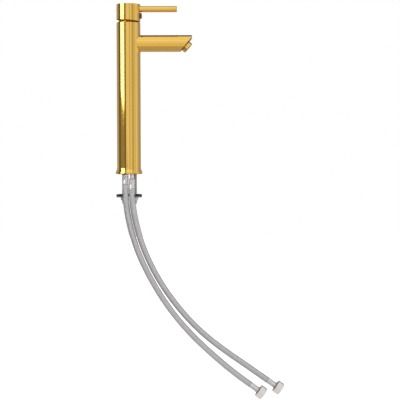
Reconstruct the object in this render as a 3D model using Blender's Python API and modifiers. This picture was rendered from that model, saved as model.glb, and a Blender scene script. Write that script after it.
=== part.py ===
"""Tall single-lever basin mixer with two braided supply hoses and a double-stud fixing kit.

Frame: +Z up, the origin at the middle of the base on the countertop, +X along the spout and the
lever, -Y on the hot side. Everything is in metres.
"""

import math

import bmesh
import bpy
from mathutils import Vector

MM = 0.001
GAP = 0.3 * MM  # between pieces that touch
X_AXIS, Y_AXIS, Z_AXIS = Vector((1, 0, 0)), Vector((0, 1, 0)), Vector((0, 0, 1))

# Column
COLUMN_RADIUS = 23 * MM
COLUMN_WALL = 3.5 * MM
COLUMN_TOP = 293.2 * MM
COLUMN_RIM_CHAMFER = 1 * MM
FOOT_FLARE = 3 * MM
FOOT_HEIGHT = 12.5 * MM
FOOT_LAND = 3 * MM
FLARE_STEPS = 6
FLARE_POWER = 1.6
COLUMN_BORE = COLUMN_RADIUS - COLUMN_WALL
FOOT_RADIUS = COLUMN_RADIUS + FOOT_FLARE

# Ring gasket in the rebate under the foot
GASKET_LIP = 1 * MM  # of the foot outside the gasket
GASKET_WIDTH = 6 * MM
GASKET_THICKNESS = 2.4 * MM
GASKET_PROUD = 0.8 * MM
GASKET_RADIUS = FOOT_RADIUS - GASKET_LIP

# Spout
SPOUT_RADIUS = 16 * MM
SPOUT_WALL = 2.2 * MM
SPOUT_DEPTH = 40.25 * MM  # of its axis below the column's top
SPOUT_REACH = 123 * MM
SPOUT_NOSE = 5.5 * MM  # height of the upright face above the mitre
MITRE_ANGLE = math.radians(40.7)  # of the mitred face from upright
EDGE_BEVEL = 0.6 * MM
SPOUT_HEIGHT = COLUMN_TOP - SPOUT_DEPTH

# Aerator in the mitred face
AERATOR_RADIUS = 11 * MM
AERATOR_WALL = 1.6 * MM
AERATOR_PROUD = 8 * MM
AERATOR_THREAD_RADIUS = 9.6 * MM
AERATOR_THREAD_LENGTH = 3.5 * MM
AERATOR_WASHER = 1 * MM
AERATOR_DROP = 19.3 * MM  # from the top of the mitre to the aerator's axis, along the mitre
STRAINER_THICKNESS = 2 * MM
STRAINER_HOLE = 1.5 * MM
STRAINER_RING = 5.4 * MM
STRAINER_HOLES = 6  # around the middle one

# Handle: it tilts about a pin in the cartridge and turns with the rotor
PIVOT_DEPTH = 14.2 * MM  # below the column's top
TILT_SLACK = 0.7 * MM
NECK_STEP = 2.6 * MM  # how far the dome under the handle is inside the column's face
DOME_WALL = 1.2 * MM
DOME_OPENING = 12.3 * MM
SPIGOT_WALL = 1 * MM
SPIGOT_HEIGHT = 1.2 * MM
HANDLE_RISE = 34.8 * MM  # of its top above the column's
HANDLE_FRONT_GAP = 1.8 * MM
HANDLE_BACK_GAP = 5.8 * MM
HANDLE_SKIRT = 2.1 * MM
HANDLE_SKIRT_DEPTH = 4 * MM  # of the skirt's straight wall above the back edge
HANDLE_BEVEL = 0.7 * MM
LEVER_RADIUS = 5.75 * MM
LEVER_DEPTH = 9 * MM  # of its axis below the handle's top
LEVER_REACH = 94 * MM
LEVER_ROOT = 10 * MM
LEVER_BEVEL = 0.7 * MM
PLUG_RADIUS = 5.5 * MM
PLUG_LAND = 1.15 * MM  # between the plug's recess and the lever's socket
PLUG_PROUD = 3.3 * MM
PLUG_DEPTH = 2.6 * MM
GRUB_RADIUS = 2 * MM
GRUB_RISE = 1.5 * MM  # above the plug's axis
GRUB_LENGTH = 11 * MM
PIVOT_HEIGHT = COLUMN_TOP - PIVOT_DEPTH
HANDLE_TOP = COLUMN_TOP + HANDLE_RISE
HANDLE_FRONT_EDGE = COLUMN_TOP + HANDLE_FRONT_GAP
HANDLE_BACK_EDGE = COLUMN_TOP + HANDLE_BACK_GAP
LEVER_HEIGHT = HANDLE_TOP - LEVER_DEPTH
PLUG_HEIGHT = LEVER_HEIGHT - LEVER_RADIUS - PLUG_RADIUS - PLUG_LAND - 2 * GAP
GRUB_HEIGHT = PLUG_HEIGHT + GRUB_RISE

# Cartridge, from the pivot pin down to the seat
STEM_ARM = 9 * MM  # from the pivot to the ball that moves the disc
STEM_BALL = 2.6 * MM
STEM_NECK = 2 * MM
STEM_RADIUS = 3.5 * MM
STEM_COVER = 12 * MM  # of the handle over the stem's end
PIN_RADIUS = 1.5 * MM
ROTOR_RISE = 7 * MM  # above the pivot
ROTOR_SLOT = 7 * MM  # half of its length
CARRIER_FLOOR = 1.7 * MM
CARRIER_THICKNESS = 6.5 * MM
DISC_THICKNESS = 3 * MM
DISC_PLAY = 0.45 * MM  # between the moving disc at either end of its travel and the housing
MOVING_DISC_OFFSET = -1.55 * MM  # half of its travel, so that it stays inside the housing
POCKET_RADIUS = 6.2 * MM
POCKET_OFFSET = -2.5 * MM
POCKET_DEPTH = 1.4 * MM
CARTRIDGE_BASE = 2 * MM
CARTRIDGE_SLACK = 2 * MM  # between the cartridge's housing and the column's bore
HOUSING_WALL = 3.1 * MM
HOUSING_LIP = 2.2 * MM
CARTRIDGE_RADIUS = COLUMN_BORE - CARTRIDGE_SLACK
CHAMBER_RADIUS = CARTRIDGE_RADIUS - HOUSING_WALL
MOVING_DISC_RADIUS = CHAMBER_RADIUS + MOVING_DISC_OFFSET - DISC_PLAY
NUT_HEIGHT = 3.2 * MM
NUT_WALL = 3.7 * MM
SEAT_HEIGHT = 22 * MM
INLET_PORT = Vector((4.5, 6.5, 0)) * MM
INLET_RADIUS = 2.5 * MM
OUTLET_PORT = Vector((-5.5, 0, 0)) * MM
OUTLET_RADIUS = 3.2 * MM
SEAL_WIDTH = 1.2 * MM
SEAL_THICKNESS = 1 * MM
BALL_HEIGHT = PIVOT_HEIGHT - STEM_ARM
CARRIER_BOTTOM = BALL_HEIGHT - STEM_BALL - GAP - CARRIER_FLOOR
MOVING_BOTTOM = CARRIER_BOTTOM - GAP - DISC_THICKNESS
FIXED_BOTTOM = MOVING_BOTTOM - GAP - DISC_THICKNESS
SEAT_TOP = FIXED_BOTTOM - GAP - CARTRIDGE_BASE - GAP
SEAT_BOTTOM = SEAT_TOP - SEAT_HEIGHT
ROTOR_BOTTOM = CARRIER_BOTTOM + CARRIER_THICKNESS + GAP
ROTOR_TOP = PIVOT_HEIGHT + ROTOR_RISE
STEM_TOP = HANDLE_TOP - STEM_COVER

# Base block and the tubes from it to the cartridge's seat
BLOCK_BOTTOM = 6 * MM
BLOCK_TOP = 20 * MM
HOSE_PLACES = {"hot": Vector((-6.3, -5.5, 0)) * MM, "cold": Vector((6.3, -5.5, 0)) * MM}
HOSE_THREAD_RADIUS = 4.9 * MM
HOSE_THREAD_LENGTH = 7.5 * MM
HOSE_THREAD_SHOULDER = 1 * MM  # of the thread below the block
RISER_RADIUS = 3.5 * MM
RISER_WALL = 0.8 * MM
RISER_STEPS = 12

# Studs, horseshoes, washers and nuts
STUD_RADIUS = 3 * MM
STUD_LENGTH = 75 * MM
STUD_IN_BLOCK = 9.5 * MM
STUD_SPREAD = 11.7 * MM
STUD_BACK = 8.5 * MM
STUD_NUT_ACROSS = 10 * MM
STUD_NUT_HEIGHT = 5 * MM
STUD_NUT_FROM_END = 7 * MM
WASHER_RADIUS = 6 * MM
WASHER_THICKNESS = 1.2 * MM
PLATE_THICKNESS = 2 * MM
PAD_THICKNESS = 3 * MM
HORSESHOE_RADIUS = 25 * MM
HORSESHOE_INNER = 16.7 * MM  # half of the mouth
HORSESHOE_ARM = 10.2 * MM  # from the middle to the rounded tips' centres
HORSESHOE_TIP = 3.15 * MM
WINDOW_LENGTH = 11 * MM
WINDOW_WIDTH = 7.8 * MM
WINDOW_BAR = 2.9 * MM  # between a window and the mouth
WINDOW_CORNER = 3 * MM
NOTCH_RADIUS = 3.2 * MM
NOTCH_END = 18.7 * MM

# Hoses: their upper ends, their routes (x, y, z in millimetres) and their lower ends
HOSE_RADIUS = 6 * MM
FERRULE_RADIUS = 6.1 * MM
FERRULE_LENGTH = 19.6 * MM
FERRULE_LIP = 0.5 * MM
HOSE_BORE = 2.5 * MM
HOSE_TAIL_RADIUS = 4 * MM
HOSE_ROUTES = {
    "hot": [
        (-6.3, -5.5, -20.3), (-6.3, -5.5, -32), (-6.0, -5.5, -46), (-4.8, -5.6, -62),
        (-2.3, -5.8, -80), (2.0, -6.1, -101), (8.6, -6.5, -126), (18.2, -7.0, -154),
        (31.5, -7.6, -184), (48.5, -8.2, -216),
        (69.0, -8.8, -249), (93.5, -9.3, -282), (122, -9.8, -314.5), (154, -10.2, -345.5),
        (188.5, -10.5, -375.5), (213.5, -10.7, -395.5), (237.5, -10.8, -413),
    ],
    "cold": [
        (6.3, -5.5, -29.2), (6.4, -5.4, -40), (7.1, -5.2, -54), (8.9, -5.0, -70), (12.0, -4.7, -88),
        (16.6, -4.4, -108), (23.0, -4.0, -130), (31.8, -3.5, -154), (43.5, -3.0, -180),
        (58.5, -2.5, -208), (77.5, -2.0, -237.5), (100.5, -1.6, -267.5), (127.5, -1.2, -297.5),
        (159.0, -0.9, -326), (194.0, -0.6, -352.5), (231.5, -0.4, -378.5), (271.5, -0.2, -406.5),
    ],
}  # fmt: skip
ROUTE_STEPS = 2  # tube points for each stretch of a route
HOSE_NUT_ACROSS = 24 * MM
HOSE_NUT_HEIGHT = 13 * MM
HOSE_NUT_FLOOR = 3 * MM
HOSE_NUT_BORE = 10.3 * MM
TAIL_COLLAR = 5 * MM
TAIL_FLANGE_RADIUS = 8.6 * MM
TAIL_FLANGE = 2 * MM
NUT_WASHER = 2 * MM

FINE, MEDIUM, COARSE = 32, 24, 12  # sides of a turned piece


def new_collection(name):
    collection = bpy.data.collections.new(name)
    bpy.context.scene.collection.children.link(collection)
    return collection


def new_material(name, colour, roughness, metallic):
    material = bpy.data.materials.new(name)
    material.use_nodes = True
    shader = material.node_tree.nodes["Principled BSDF"]
    shader.inputs["Base Color"].default_value = (*colour, 1)
    shader.inputs["Roughness"].default_value = roughness
    shader.inputs["Metallic"].default_value = metallic
    return material


for old in list(bpy.data.objects):
    bpy.data.objects.remove(old)
PARTS = new_collection("basin_mixer")
CUTTERS = new_collection("cutters")

GOLD = ("gold", (0.83, 0.55, 0.12), 0.12, 1)
BRASS = ("brass", (0.62, 0.45, 0.18), 0.35, 1)
NICKEL = ("nickel", (0.66, 0.63, 0.58), 0.25, 1)
ZINC = ("zinc", (0.5, 0.5, 0.5), 0.4, 1)
STEEL = ("steel", (0.26, 0.25, 0.27), 0.5, 1)
BRAID = ("braid", (0.5, 0.5, 0.5), 0.35, 1)
RUBBER = ("rubber", (0.015, 0.017, 0.02), 0.7, 0)
CERAMIC = ("ceramic", (0.75, 0.74, 0.7), 0.3, 0)
PLASTIC = ("plastic", (0.8, 0.8, 0.78), 0.4, 0)
COPPER = ("copper", (0.6, 0.32, 0.18), 0.35, 1)


def dress(obj, name, look):
    """Puts a finished object among the parts with its own material, or among the cutters without one."""
    obj.name = obj.data.name = name
    for collection in list(obj.users_collection):
        collection.objects.unlink(obj)
    if look is None:
        CUTTERS.objects.link(obj)
        obj.hide_render = True
        obj.display_type = "WIRE"
        return obj
    PARTS.objects.link(obj)
    kind, colour, roughness, metallic = look
    obj.data.materials.append(new_material(f"{name}_{kind}", colour, roughness, metallic))
    return obj


def aim(obj, place, direction):
    """Moves an object made along +Z to its place, with +Z turned to its direction."""
    obj.location = place
    obj.rotation_mode = "QUATERNION"
    obj.rotation_quaternion = Z_AXIS.rotation_difference(Vector(direction))


def mesh_object(name, mesh_maker):
    mesh = bpy.data.meshes.new(name)
    bm = bmesh.new()
    mesh_maker(bm)
    bm.to_mesh(mesh)
    bm.free()
    obj = bpy.data.objects.new(name, mesh)
    bpy.context.scene.collection.objects.link(obj)
    return obj


def turned(name, profile, look, place=(0, 0, 0), direction=Z_AXIS, sides=MEDIUM):
    """A turned piece. The profile's points are (radius, height), and it closes on itself off the axis."""
    ring = all(radius > 0 for radius, _ in profile)
    around = profile + profile[:1]
    area = sum(a[0] * b[1] - b[0] * a[1] for a, b in zip(around, around[1:]))
    points = profile if area < 0 else profile[::-1]  # down the outer side

    def outline(bm):
        spots = [bm.verts.new((radius, 0, height)) for radius, height in points]
        for a, b in zip(spots, spots[1:] + spots[:1] if ring else spots[1:]):
            bm.edges.new((a, b))

    obj = mesh_object(name, outline)
    screw = obj.modifiers.new("Turned", "SCREW")
    screw.steps = screw.render_steps = sides
    screw.use_merge_vertices = True
    screw.merge_threshold = 0.00001
    screw.use_smooth_shade = False
    aim(obj, place, direction)
    return dress(obj, name, look)


def rod(name, radius, start, end, look=None, sides=COARSE):
    """A straight round bar between two points."""
    start, end = Vector(start), Vector(end)
    length = (end - start).length

    def bar(bm):
        ends = {"radius1": radius, "radius2": radius}
        bmesh.ops.create_cone(bm, cap_ends=True, segments=sides, depth=length, **ends)

    obj = mesh_object(name, bar)
    aim(obj, (start + end) / 2, end - start)
    return dress(obj, name, look)


def lying(name, radius, height, start, end, look=None, sides=COARSE):
    """A round bar along X at a height, in the object's middle plane."""
    return rod(name, radius, (start, 0, height), (end, 0, height), look, sides)


def block(name, size, centre, direction=Z_AXIS, look=None):
    """A box whose own height runs along its direction."""

    def box(bm):
        bmesh.ops.create_cube(bm, size=1)
        bmesh.ops.scale(bm, vec=size, verts=bm.verts)

    obj = mesh_object(name, box)
    aim(obj, centre, direction)
    return dress(obj, name, look)


def combine(target, operand, operation="DIFFERENCE"):
    boolean = target.modifiers.new(operand.name, "BOOLEAN")
    boolean.operation = operation
    boolean.solver = "EXACT"
    boolean.object = operand
    return target


def soften(obj, width, angle=40, segments=1):
    bevel = obj.modifiers.new("Softened edges", "BEVEL")
    bevel.width = width
    bevel.segments = segments
    bevel.limit_method = "ANGLE"
    bevel.angle_limit = math.radians(angle)
    return obj


def ring(name, outer, inner, bottom, top, look, place=(0, 0, 0), direction=Z_AXIS, sides=MEDIUM):
    profile = [(outer, top), (outer, bottom), (inner, bottom), (inner, top)]
    return turned(name, profile, look, place, direction, sides)


def drum(name, radius, bottom, top, look, place=(0, 0, 0), sides=MEDIUM):
    place = Vector(place)
    return rod(name, radius, place + Z_AXIS * bottom, place + Z_AXIS * top, look, sides)


def corner_radius(across_flats):
    """Of a hexagon."""
    return across_flats / math.sqrt(3)


def arc(centre, radius, start, end, steps):
    """Points along an arc in a plane, from one angle in degrees to another."""
    turns = [math.radians(start + (end - start) * i / steps) for i in range(steps + 1)]
    return [(centre[0] + radius * math.cos(t), centre[1] + radius * math.sin(t)) for t in turns]


def smooth_route(points, steps):
    """Points on a Catmull-Rom curve through the route's own points."""
    points = [Vector(p) * MM for p in points]
    ends = [2 * points[0] - points[1], *points, 2 * points[-1] - points[-2]]
    route = []
    for a, b, c, d in zip(ends, ends[1:], ends[2:], ends[3:]):
        for step in range(steps):
            t = step / steps
            bend = (2 * a - 5 * b + 4 * c - d) * t**2 + (3 * b - a - 3 * c + d) * t**3
            route.append(b + ((c - a) * t + bend) / 2)
    return route + [points[-1]]


def tube(name, route, radius, look, wall=None):
    """A bent bar along a route, or an open pipe where a wall is given."""
    curve = bpy.data.curves.new(name, "CURVE")
    curve.dimensions = "3D"
    curve.bevel_depth = radius
    curve.bevel_resolution = 2
    curve.use_fill_caps = wall is None
    spline = curve.splines.new("POLY")
    spline.points.add(len(route) - 1)
    for spot, place in zip(spline.points, route):
        spot.co = (*place, 1)
    obj = bpy.data.objects.new(name, curve)
    bpy.context.scene.collection.objects.link(obj)
    if wall:
        solidify = obj.modifiers.new("Wall", "SOLIDIFY")
        solidify.thickness = wall
        solidify.offset = -1
    return dress(obj, name, look)


def flat_outline(name, outlines, thickness, place, look):
    """A flat plate: the first outline is its edge, and the others are its windows."""
    curve = bpy.data.curves.new(name, "CURVE")
    curve.dimensions = "2D"
    curve.fill_mode = "BOTH"
    curve.extrude = thickness / 2
    for outline in outlines:
        spline = curve.splines.new("POLY")
        spline.use_cyclic_u = True
        spline.points.add(len(outline) - 1)
        for spot, (x, y) in zip(spline.points, outline):
            spot.co = (x, y, 0, 1)
    obj = bpy.data.objects.new(name, curve)
    obj.location = place
    bpy.context.scene.collection.objects.link(obj)
    return dress(obj, name, look)


def make_column():
    rebate = GASKET_THICKNESS + GAP
    flare = []
    for step in range(FLARE_STEPS + 1):
        down = step / FLARE_STEPS
        height = FOOT_HEIGHT + (FOOT_LAND - FOOT_HEIGHT) * down
        flare.append((COLUMN_RADIUS + FOOT_FLARE * down**FLARE_POWER, height))
    rim = GASKET_RADIUS + GAP
    profile = [
        (COLUMN_BORE, COLUMN_TOP),
        (COLUMN_RADIUS - COLUMN_RIM_CHAMFER, COLUMN_TOP),
        (COLUMN_RADIUS, COLUMN_TOP - COLUMN_RIM_CHAMFER),
        *flare,
        (FOOT_RADIUS, GASKET_PROUD),
        (rim, GASKET_PROUD),
        (rim, rebate),
        (COLUMN_BORE, rebate),
    ]
    column = turned("body_shell", profile, GOLD, sides=FINE)
    mouth = SPOUT_RADIUS + GAP
    combine(column, lying("spout_hole", mouth, SPOUT_HEIGHT, 0, 2 * FOOT_RADIUS, sides=FINE))
    hole = GASKET_RADIUS - GASKET_WIDTH
    ring("ring_gasket", GASKET_RADIUS, hole, 0, GASKET_THICKNESS, RUBBER, sides=FINE)


def mitre_frame():
    """The mitred face: its upper end, the way down it and the way out of it."""
    top = Vector((SPOUT_REACH, 0, SPOUT_HEIGHT + SPOUT_RADIUS - SPOUT_NOSE))
    down = Vector((-math.sin(MITRE_ANGLE), 0, -math.cos(MITRE_ANGLE)))
    out = Vector((math.cos(MITRE_ANGLE), 0, -math.sin(MITRE_ANGLE)))
    return top, down, out


def make_spout():
    top, down, out = mitre_frame()
    deep = 3 * SPOUT_RADIUS

    def mitred(obj, name, inset):
        """Cuts an object at the mitred face, or at one that is further inside."""
        middle = top + down * SPOUT_RADIUS + out * (deep / 2 - inset)
        return combine(obj, block(name, (deep * 2, deep * 2, deep), middle, out))

    spout = lying("spout_tube", SPOUT_RADIUS, SPOUT_HEIGHT, 0, SPOUT_REACH, GOLD, FINE)
    mitred(spout, "mitre_cut", 0)
    soften(spout, EDGE_BEVEL, angle=25)
    inside = SPOUT_RADIUS - SPOUT_WALL
    hollow = lying("spout_hollow", inside, SPOUT_HEIGHT, -COLUMN_RADIUS, SPOUT_REACH - SPOUT_WALL)
    mitred(hollow, "hollow_mitre_cut", SPOUT_WALL)
    combine(spout, hollow)
    low, high = SPOUT_HEIGHT - deep, SPOUT_HEIGHT + deep
    combine(spout, drum("saddle_cut", COLUMN_BORE + GAP, low, high, None, sides=FINE))

    seat = top + down * AERATOR_DROP
    socket = AERATOR_THREAD_RADIUS + GAP
    behind = seat - out * SPOUT_WALL * 2
    combine(spout, rod("aerator_socket", socket, behind, seat + out * deep, sides=MEDIUM))
    lip = AERATOR_WASHER + 2 * GAP
    inner = AERATOR_THREAD_RADIUS - AERATOR_WALL
    housing = [
        (AERATOR_RADIUS, lip),
        (AERATOR_RADIUS, AERATOR_PROUD - EDGE_BEVEL),
        (AERATOR_RADIUS - EDGE_BEVEL, AERATOR_PROUD),
        (AERATOR_RADIUS - AERATOR_WALL, AERATOR_PROUD),
        (AERATOR_RADIUS - AERATOR_WALL, lip + AERATOR_WALL),
        (inner, lip + AERATOR_WALL),
        (inner, -AERATOR_THREAD_LENGTH),
        (AERATOR_THREAD_RADIUS, -AERATOR_THREAD_LENGTH),
        (AERATOR_THREAD_RADIUS, lip),
    ]
    turned("aerator_housing", housing, GOLD, seat, out)
    washer_inner = AERATOR_THREAD_RADIUS + GAP
    washer_outer = AERATOR_RADIUS - EDGE_BEVEL
    ring("aerator_washer", washer_outer, washer_inner, GAP, GAP + AERATOR_WASHER, RUBBER, seat, out)

    start = seat + out * (lip + AERATOR_WALL + GAP)
    end = start + out * STRAINER_THICKNESS
    rim = AERATOR_RADIUS - AERATOR_WALL - GAP
    strainer = rod("aerator_insert", rim, start, end, PLASTIC, MEDIUM)
    side = out.cross(Y_AXIS)
    for number in range(STRAINER_HOLES + 1):
        turn = math.tau * number / STRAINER_HOLES
        from_middle = STRAINER_RING if number < STRAINER_HOLES else 0
        middle = seat + (side * math.cos(turn) + Y_AXIS * math.sin(turn)) * from_middle
        combine(strainer, rod(f"strainer_hole_{number}", STRAINER_HOLE, middle, middle + out * deep))


def make_handle():
    pivot = Vector((0, 0, PIVOT_HEIGHT))
    neck = COLUMN_RADIUS - NECK_STEP
    dome_bottom = COLUMN_TOP + GAP
    dome_radius = math.hypot(neck, dome_bottom - PIVOT_HEIGHT)
    cavity = dome_radius + TILT_SLACK
    cap = drum("handle_cap", COLUMN_RADIUS, PIVOT_HEIGHT, HANDLE_TOP, GOLD, sides=FINE)
    slant = Vector((HANDLE_FRONT_EDGE - HANDLE_BACK_EDGE, 0, -2 * COLUMN_RADIUS))
    edge_middle = Vector((0, 0, (HANDLE_FRONT_EDGE + HANDLE_BACK_EDGE) / 2))
    trim = 6 * COLUMN_RADIUS
    below = edge_middle + slant.normalized() * trim / 2
    combine(cap, block("slant_cut", (trim, trim, trim), below, slant))
    soften(cap, HANDLE_BEVEL)

    def ball(bm):
        bmesh.ops.create_uvsphere(bm, u_segments=MEDIUM, v_segments=COARSE, radius=cavity)

    hollow = dress(mesh_object("dome_hollow", ball), "dome_hollow", None)
    hollow.location = pivot
    combine(cap, hollow)
    skirt_top = HANDLE_BACK_EDGE + HANDLE_SKIRT_DEPTH
    skirt_inner = COLUMN_RADIUS - HANDLE_SKIRT
    skirt_room = drum("skirt_hollow", skirt_inner, COLUMN_TOP - trim, skirt_top, None)
    half = block("front_half", (trim, trim, 2 * trim), (trim / 2, 0, COLUMN_TOP))
    combine(cap, combine(skirt_room, half))
    combine(cap, drum("stem_bore", STEM_RADIUS + GAP, PIVOT_HEIGHT, STEM_TOP + GAP, None))
    socket = LEVER_RADIUS + GAP
    far = 2 * COLUMN_RADIUS
    combine(cap, lying("lever_socket", socket, LEVER_HEIGHT, LEVER_ROOT - GAP, far, sides=MEDIUM))
    recess = COLUMN_RADIUS - PLUG_DEPTH
    combine(cap, lying("plug_recess", PLUG_RADIUS + GAP, PLUG_HEIGHT, recess - GAP, far, sides=MEDIUM))
    combine(cap, lying("grub_hole", GRUB_RADIUS + GAP, GRUB_HEIGHT, 0, recess))

    lever = lying("lever_rod", LEVER_RADIUS, LEVER_HEIGHT, LEVER_ROOT, LEVER_REACH, GOLD, MEDIUM)
    soften(lever, LEVER_BEVEL)
    plug_face = COLUMN_RADIUS + PLUG_PROUD
    plug = lying("index_plug", PLUG_RADIUS, PLUG_HEIGHT, recess, plug_face, PLASTIC, MEDIUM)
    soften(plug, EDGE_BEVEL)
    grub_start = STEM_RADIUS + GAP
    lying("grub_screw", GRUB_RADIUS, GRUB_HEIGHT, grub_start, grub_start + GRUB_LENGTH, ZINC)

    low_angle = math.degrees(math.asin(neck / dome_radius))
    high_angle = math.degrees(math.asin(DOME_OPENING / dome_radius))
    centre = (0, PIVOT_HEIGHT)
    outer = arc(centre, dome_radius, 90 - high_angle, 90 - low_angle, 4)
    spigot = COLUMN_BORE - GAP
    inner_radius = dome_radius - DOME_WALL
    inner_low = math.degrees(math.asin((spigot - SPIGOT_WALL) / inner_radius))
    inner = arc(centre, inner_radius, 90 - inner_low, 90 - high_angle, 4)
    spigot_bottom = dome_bottom - SPIGOT_HEIGHT
    foot = [(spigot, dome_bottom), (spigot, spigot_bottom), (spigot - SPIGOT_WALL, spigot_bottom)]
    turned("dome_cover", outer + foot + inner, GOLD, sides=FINE)


def make_cartridge():
    seat_radius = COLUMN_BORE - GAP
    ports = {
        "hot": (Vector((INLET_PORT.x, -INLET_PORT.y, 0)), INLET_RADIUS),
        "cold": (INLET_PORT, INLET_RADIUS),
        "outlet": (OUTLET_PORT, OUTLET_RADIUS),
    }
    base_bottom = SEAT_TOP + GAP
    seat = drum("cartridge_seat", seat_radius, SEAT_BOTTOM, SEAT_TOP, BRASS, sides=FINE)
    base = drum("cartridge_base", CARTRIDGE_RADIUS, base_bottom, base_bottom + CARTRIDGE_BASE, PLASTIC)
    fixed_top = FIXED_BOTTOM + DISC_THICKNESS
    fixed = drum("fixed_disc", CHAMBER_RADIUS - GAP, FIXED_BOTTOM, fixed_top, CERAMIC)
    for name, (place, radius) in ports.items():
        for piece in (base, fixed):
            port = drum(f"{piece.name}_{name}_port", radius, SEAT_BOTTOM, ROTOR_TOP, None, place)
            combine(piece, port)
        bottom = SPOUT_HEIGHT - OUTLET_RADIUS if name == "outlet" else 0
        combine(seat, drum(f"seat_{name}_port", radius, bottom, ROTOR_TOP, None, place))
        groove = radius + GAP + SEAL_WIDTH + GAP
        groove_bottom = SEAT_TOP - SEAL_THICKNESS
        recess = drum(f"seat_{name}_groove", groove, groove_bottom - GAP, ROTOR_TOP, None, place)
        combine(seat, recess)
        rims = (groove - GAP, radius + GAP)
        ring(f"seal_{name}", *rims, groove_bottom, SEAT_TOP, RUBBER, place, sides=COARSE)
    way_out = OUTLET_PORT + Z_AXIS * SPOUT_HEIGHT
    combine(seat, rod("seat_way_out", OUTLET_RADIUS, way_out, way_out + X_AXIS * 2 * COLUMN_RADIUS))

    moving_top = MOVING_BOTTOM + DISC_THICKNESS
    shift = (MOVING_DISC_OFFSET, 0, 0)
    moving = drum("moving_disc", MOVING_DISC_RADIUS, MOVING_BOTTOM, moving_top, CERAMIC, shift)
    pocket_top = MOVING_BOTTOM + POCKET_DEPTH
    pocket_place = (POCKET_OFFSET, 0, 0)
    combine(moving, drum("mixing_pocket", POCKET_RADIUS, SEAT_TOP, pocket_top, None, pocket_place))
    carrier_top = CARRIER_BOTTOM + CARRIER_THICKNESS
    carrier = drum("disc_carrier", MOVING_DISC_RADIUS, CARRIER_BOTTOM, carrier_top, PLASTIC, shift)
    slot_floor = CARRIER_BOTTOM + CARRIER_FLOOR
    slot = 2 * (STEM_BALL + 2 * GAP)
    combine(carrier, block("carrier_slot", (slot, slot, 2 * STEM_ARM), (0, 0, slot_floor + STEM_ARM)))

    rotor = drum("rotor", CHAMBER_RADIUS - GAP, ROTOR_BOTTOM, ROTOR_TOP, PLASTIC)
    slot_size = (2 * ROTOR_SLOT, 2 * (STEM_RADIUS + 2 * GAP), 4 * STEM_ARM)
    combine(rotor, block("rotor_slot", slot_size, (0, 0, PIVOT_HEIGHT)))
    pin_half = CHAMBER_RADIUS - 2 * GAP
    ends = [(0, side * pin_half, PIVOT_HEIGHT) for side in (-1, 1)]
    beyond = [(0, side * 2 * CHAMBER_RADIUS, PIVOT_HEIGHT) for side in (-1, 1)]
    combine(rotor, rod("rotor_pin_hole", PIN_RADIUS + GAP, *beyond))
    rod("pivot_pin", PIN_RADIUS, *ends, ZINC)

    shoulder = BALL_HEIGHT + STEM_ARM / 3
    taper_top = shoulder + STEM_RADIUS - STEM_NECK
    stem_profile = [(0, STEM_TOP), (STEM_RADIUS, STEM_TOP), (STEM_RADIUS, taper_top)]
    stem_profile += [(STEM_NECK, shoulder), *arc((0, BALL_HEIGHT), STEM_BALL, 40, -75, 5)]
    stem_profile.append((0, BALL_HEIGHT - STEM_BALL))
    stem = turned("stem", stem_profile, BRASS, sides=COARSE)
    combine(stem, rod("stem_pin_hole", PIN_RADIUS + GAP, *beyond))

    lip_bottom = ROTOR_TOP + GAP
    lip_top = lip_bottom + HOUSING_LIP
    lip = CHAMBER_RADIUS - HOUSING_LIP
    outside = [(CARTRIDGE_RADIUS, lip_top), (CARTRIDGE_RADIUS, FIXED_BOTTOM)]
    inside = [(CHAMBER_RADIUS, FIXED_BOTTOM), (CHAMBER_RADIUS, lip_bottom)]
    turned("cartridge_housing", [*outside, *inside, (lip, lip_bottom), (lip, lip_top)], PLASTIC)
    nut_bottom = lip_top + GAP
    nut_inner = seat_radius - NUT_WALL
    ring("retaining_nut", seat_radius, nut_inner, nut_bottom, nut_bottom + NUT_HEIGHT, BRASS)
    return ports


def make_base(ports):
    base = drum("base_block", COLUMN_BORE - GAP, BLOCK_BOTTOM, BLOCK_TOP, BRASS, sides=FINE)
    for name, place in HOSE_PLACES.items():
        thread_top = BLOCK_BOTTOM + HOSE_THREAD_LENGTH + GAP
        thread = HOSE_THREAD_RADIUS + GAP
        combine(base, drum(f"{name}_thread", thread, -BLOCK_TOP, thread_top, None, place))
        combine(base, drum(f"{name}_passage", INLET_RADIUS, BLOCK_BOTTOM, 2 * BLOCK_TOP, None, place))
        start = place + Z_AXIS * (BLOCK_TOP + GAP)
        end = ports[name][0] + Z_AXIS * (SEAT_BOTTOM - GAP)
        route = []
        for step in range(RISER_STEPS + 1):
            up = step / RISER_STEPS
            sway = up * up * (3 - 2 * up)
            route.append((*start.lerp(end, sway).xy, start.z + (end.z - start.z) * up))
        tube(f"riser_{name}", route, RISER_RADIUS, COPPER, RISER_WALL)
    for side, place in stud_places().items():
        top = BLOCK_BOTTOM + STUD_IN_BLOCK + GAP
        combine(base, drum(f"stud_thread_{side}", STUD_RADIUS + GAP, -BLOCK_TOP, top, None, place))


def stud_places():
    return {
        "left": Vector((-STUD_SPREAD, STUD_BACK, 0)),
        "right": Vector((STUD_SPREAD, STUD_BACK, 0)),
    }


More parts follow.
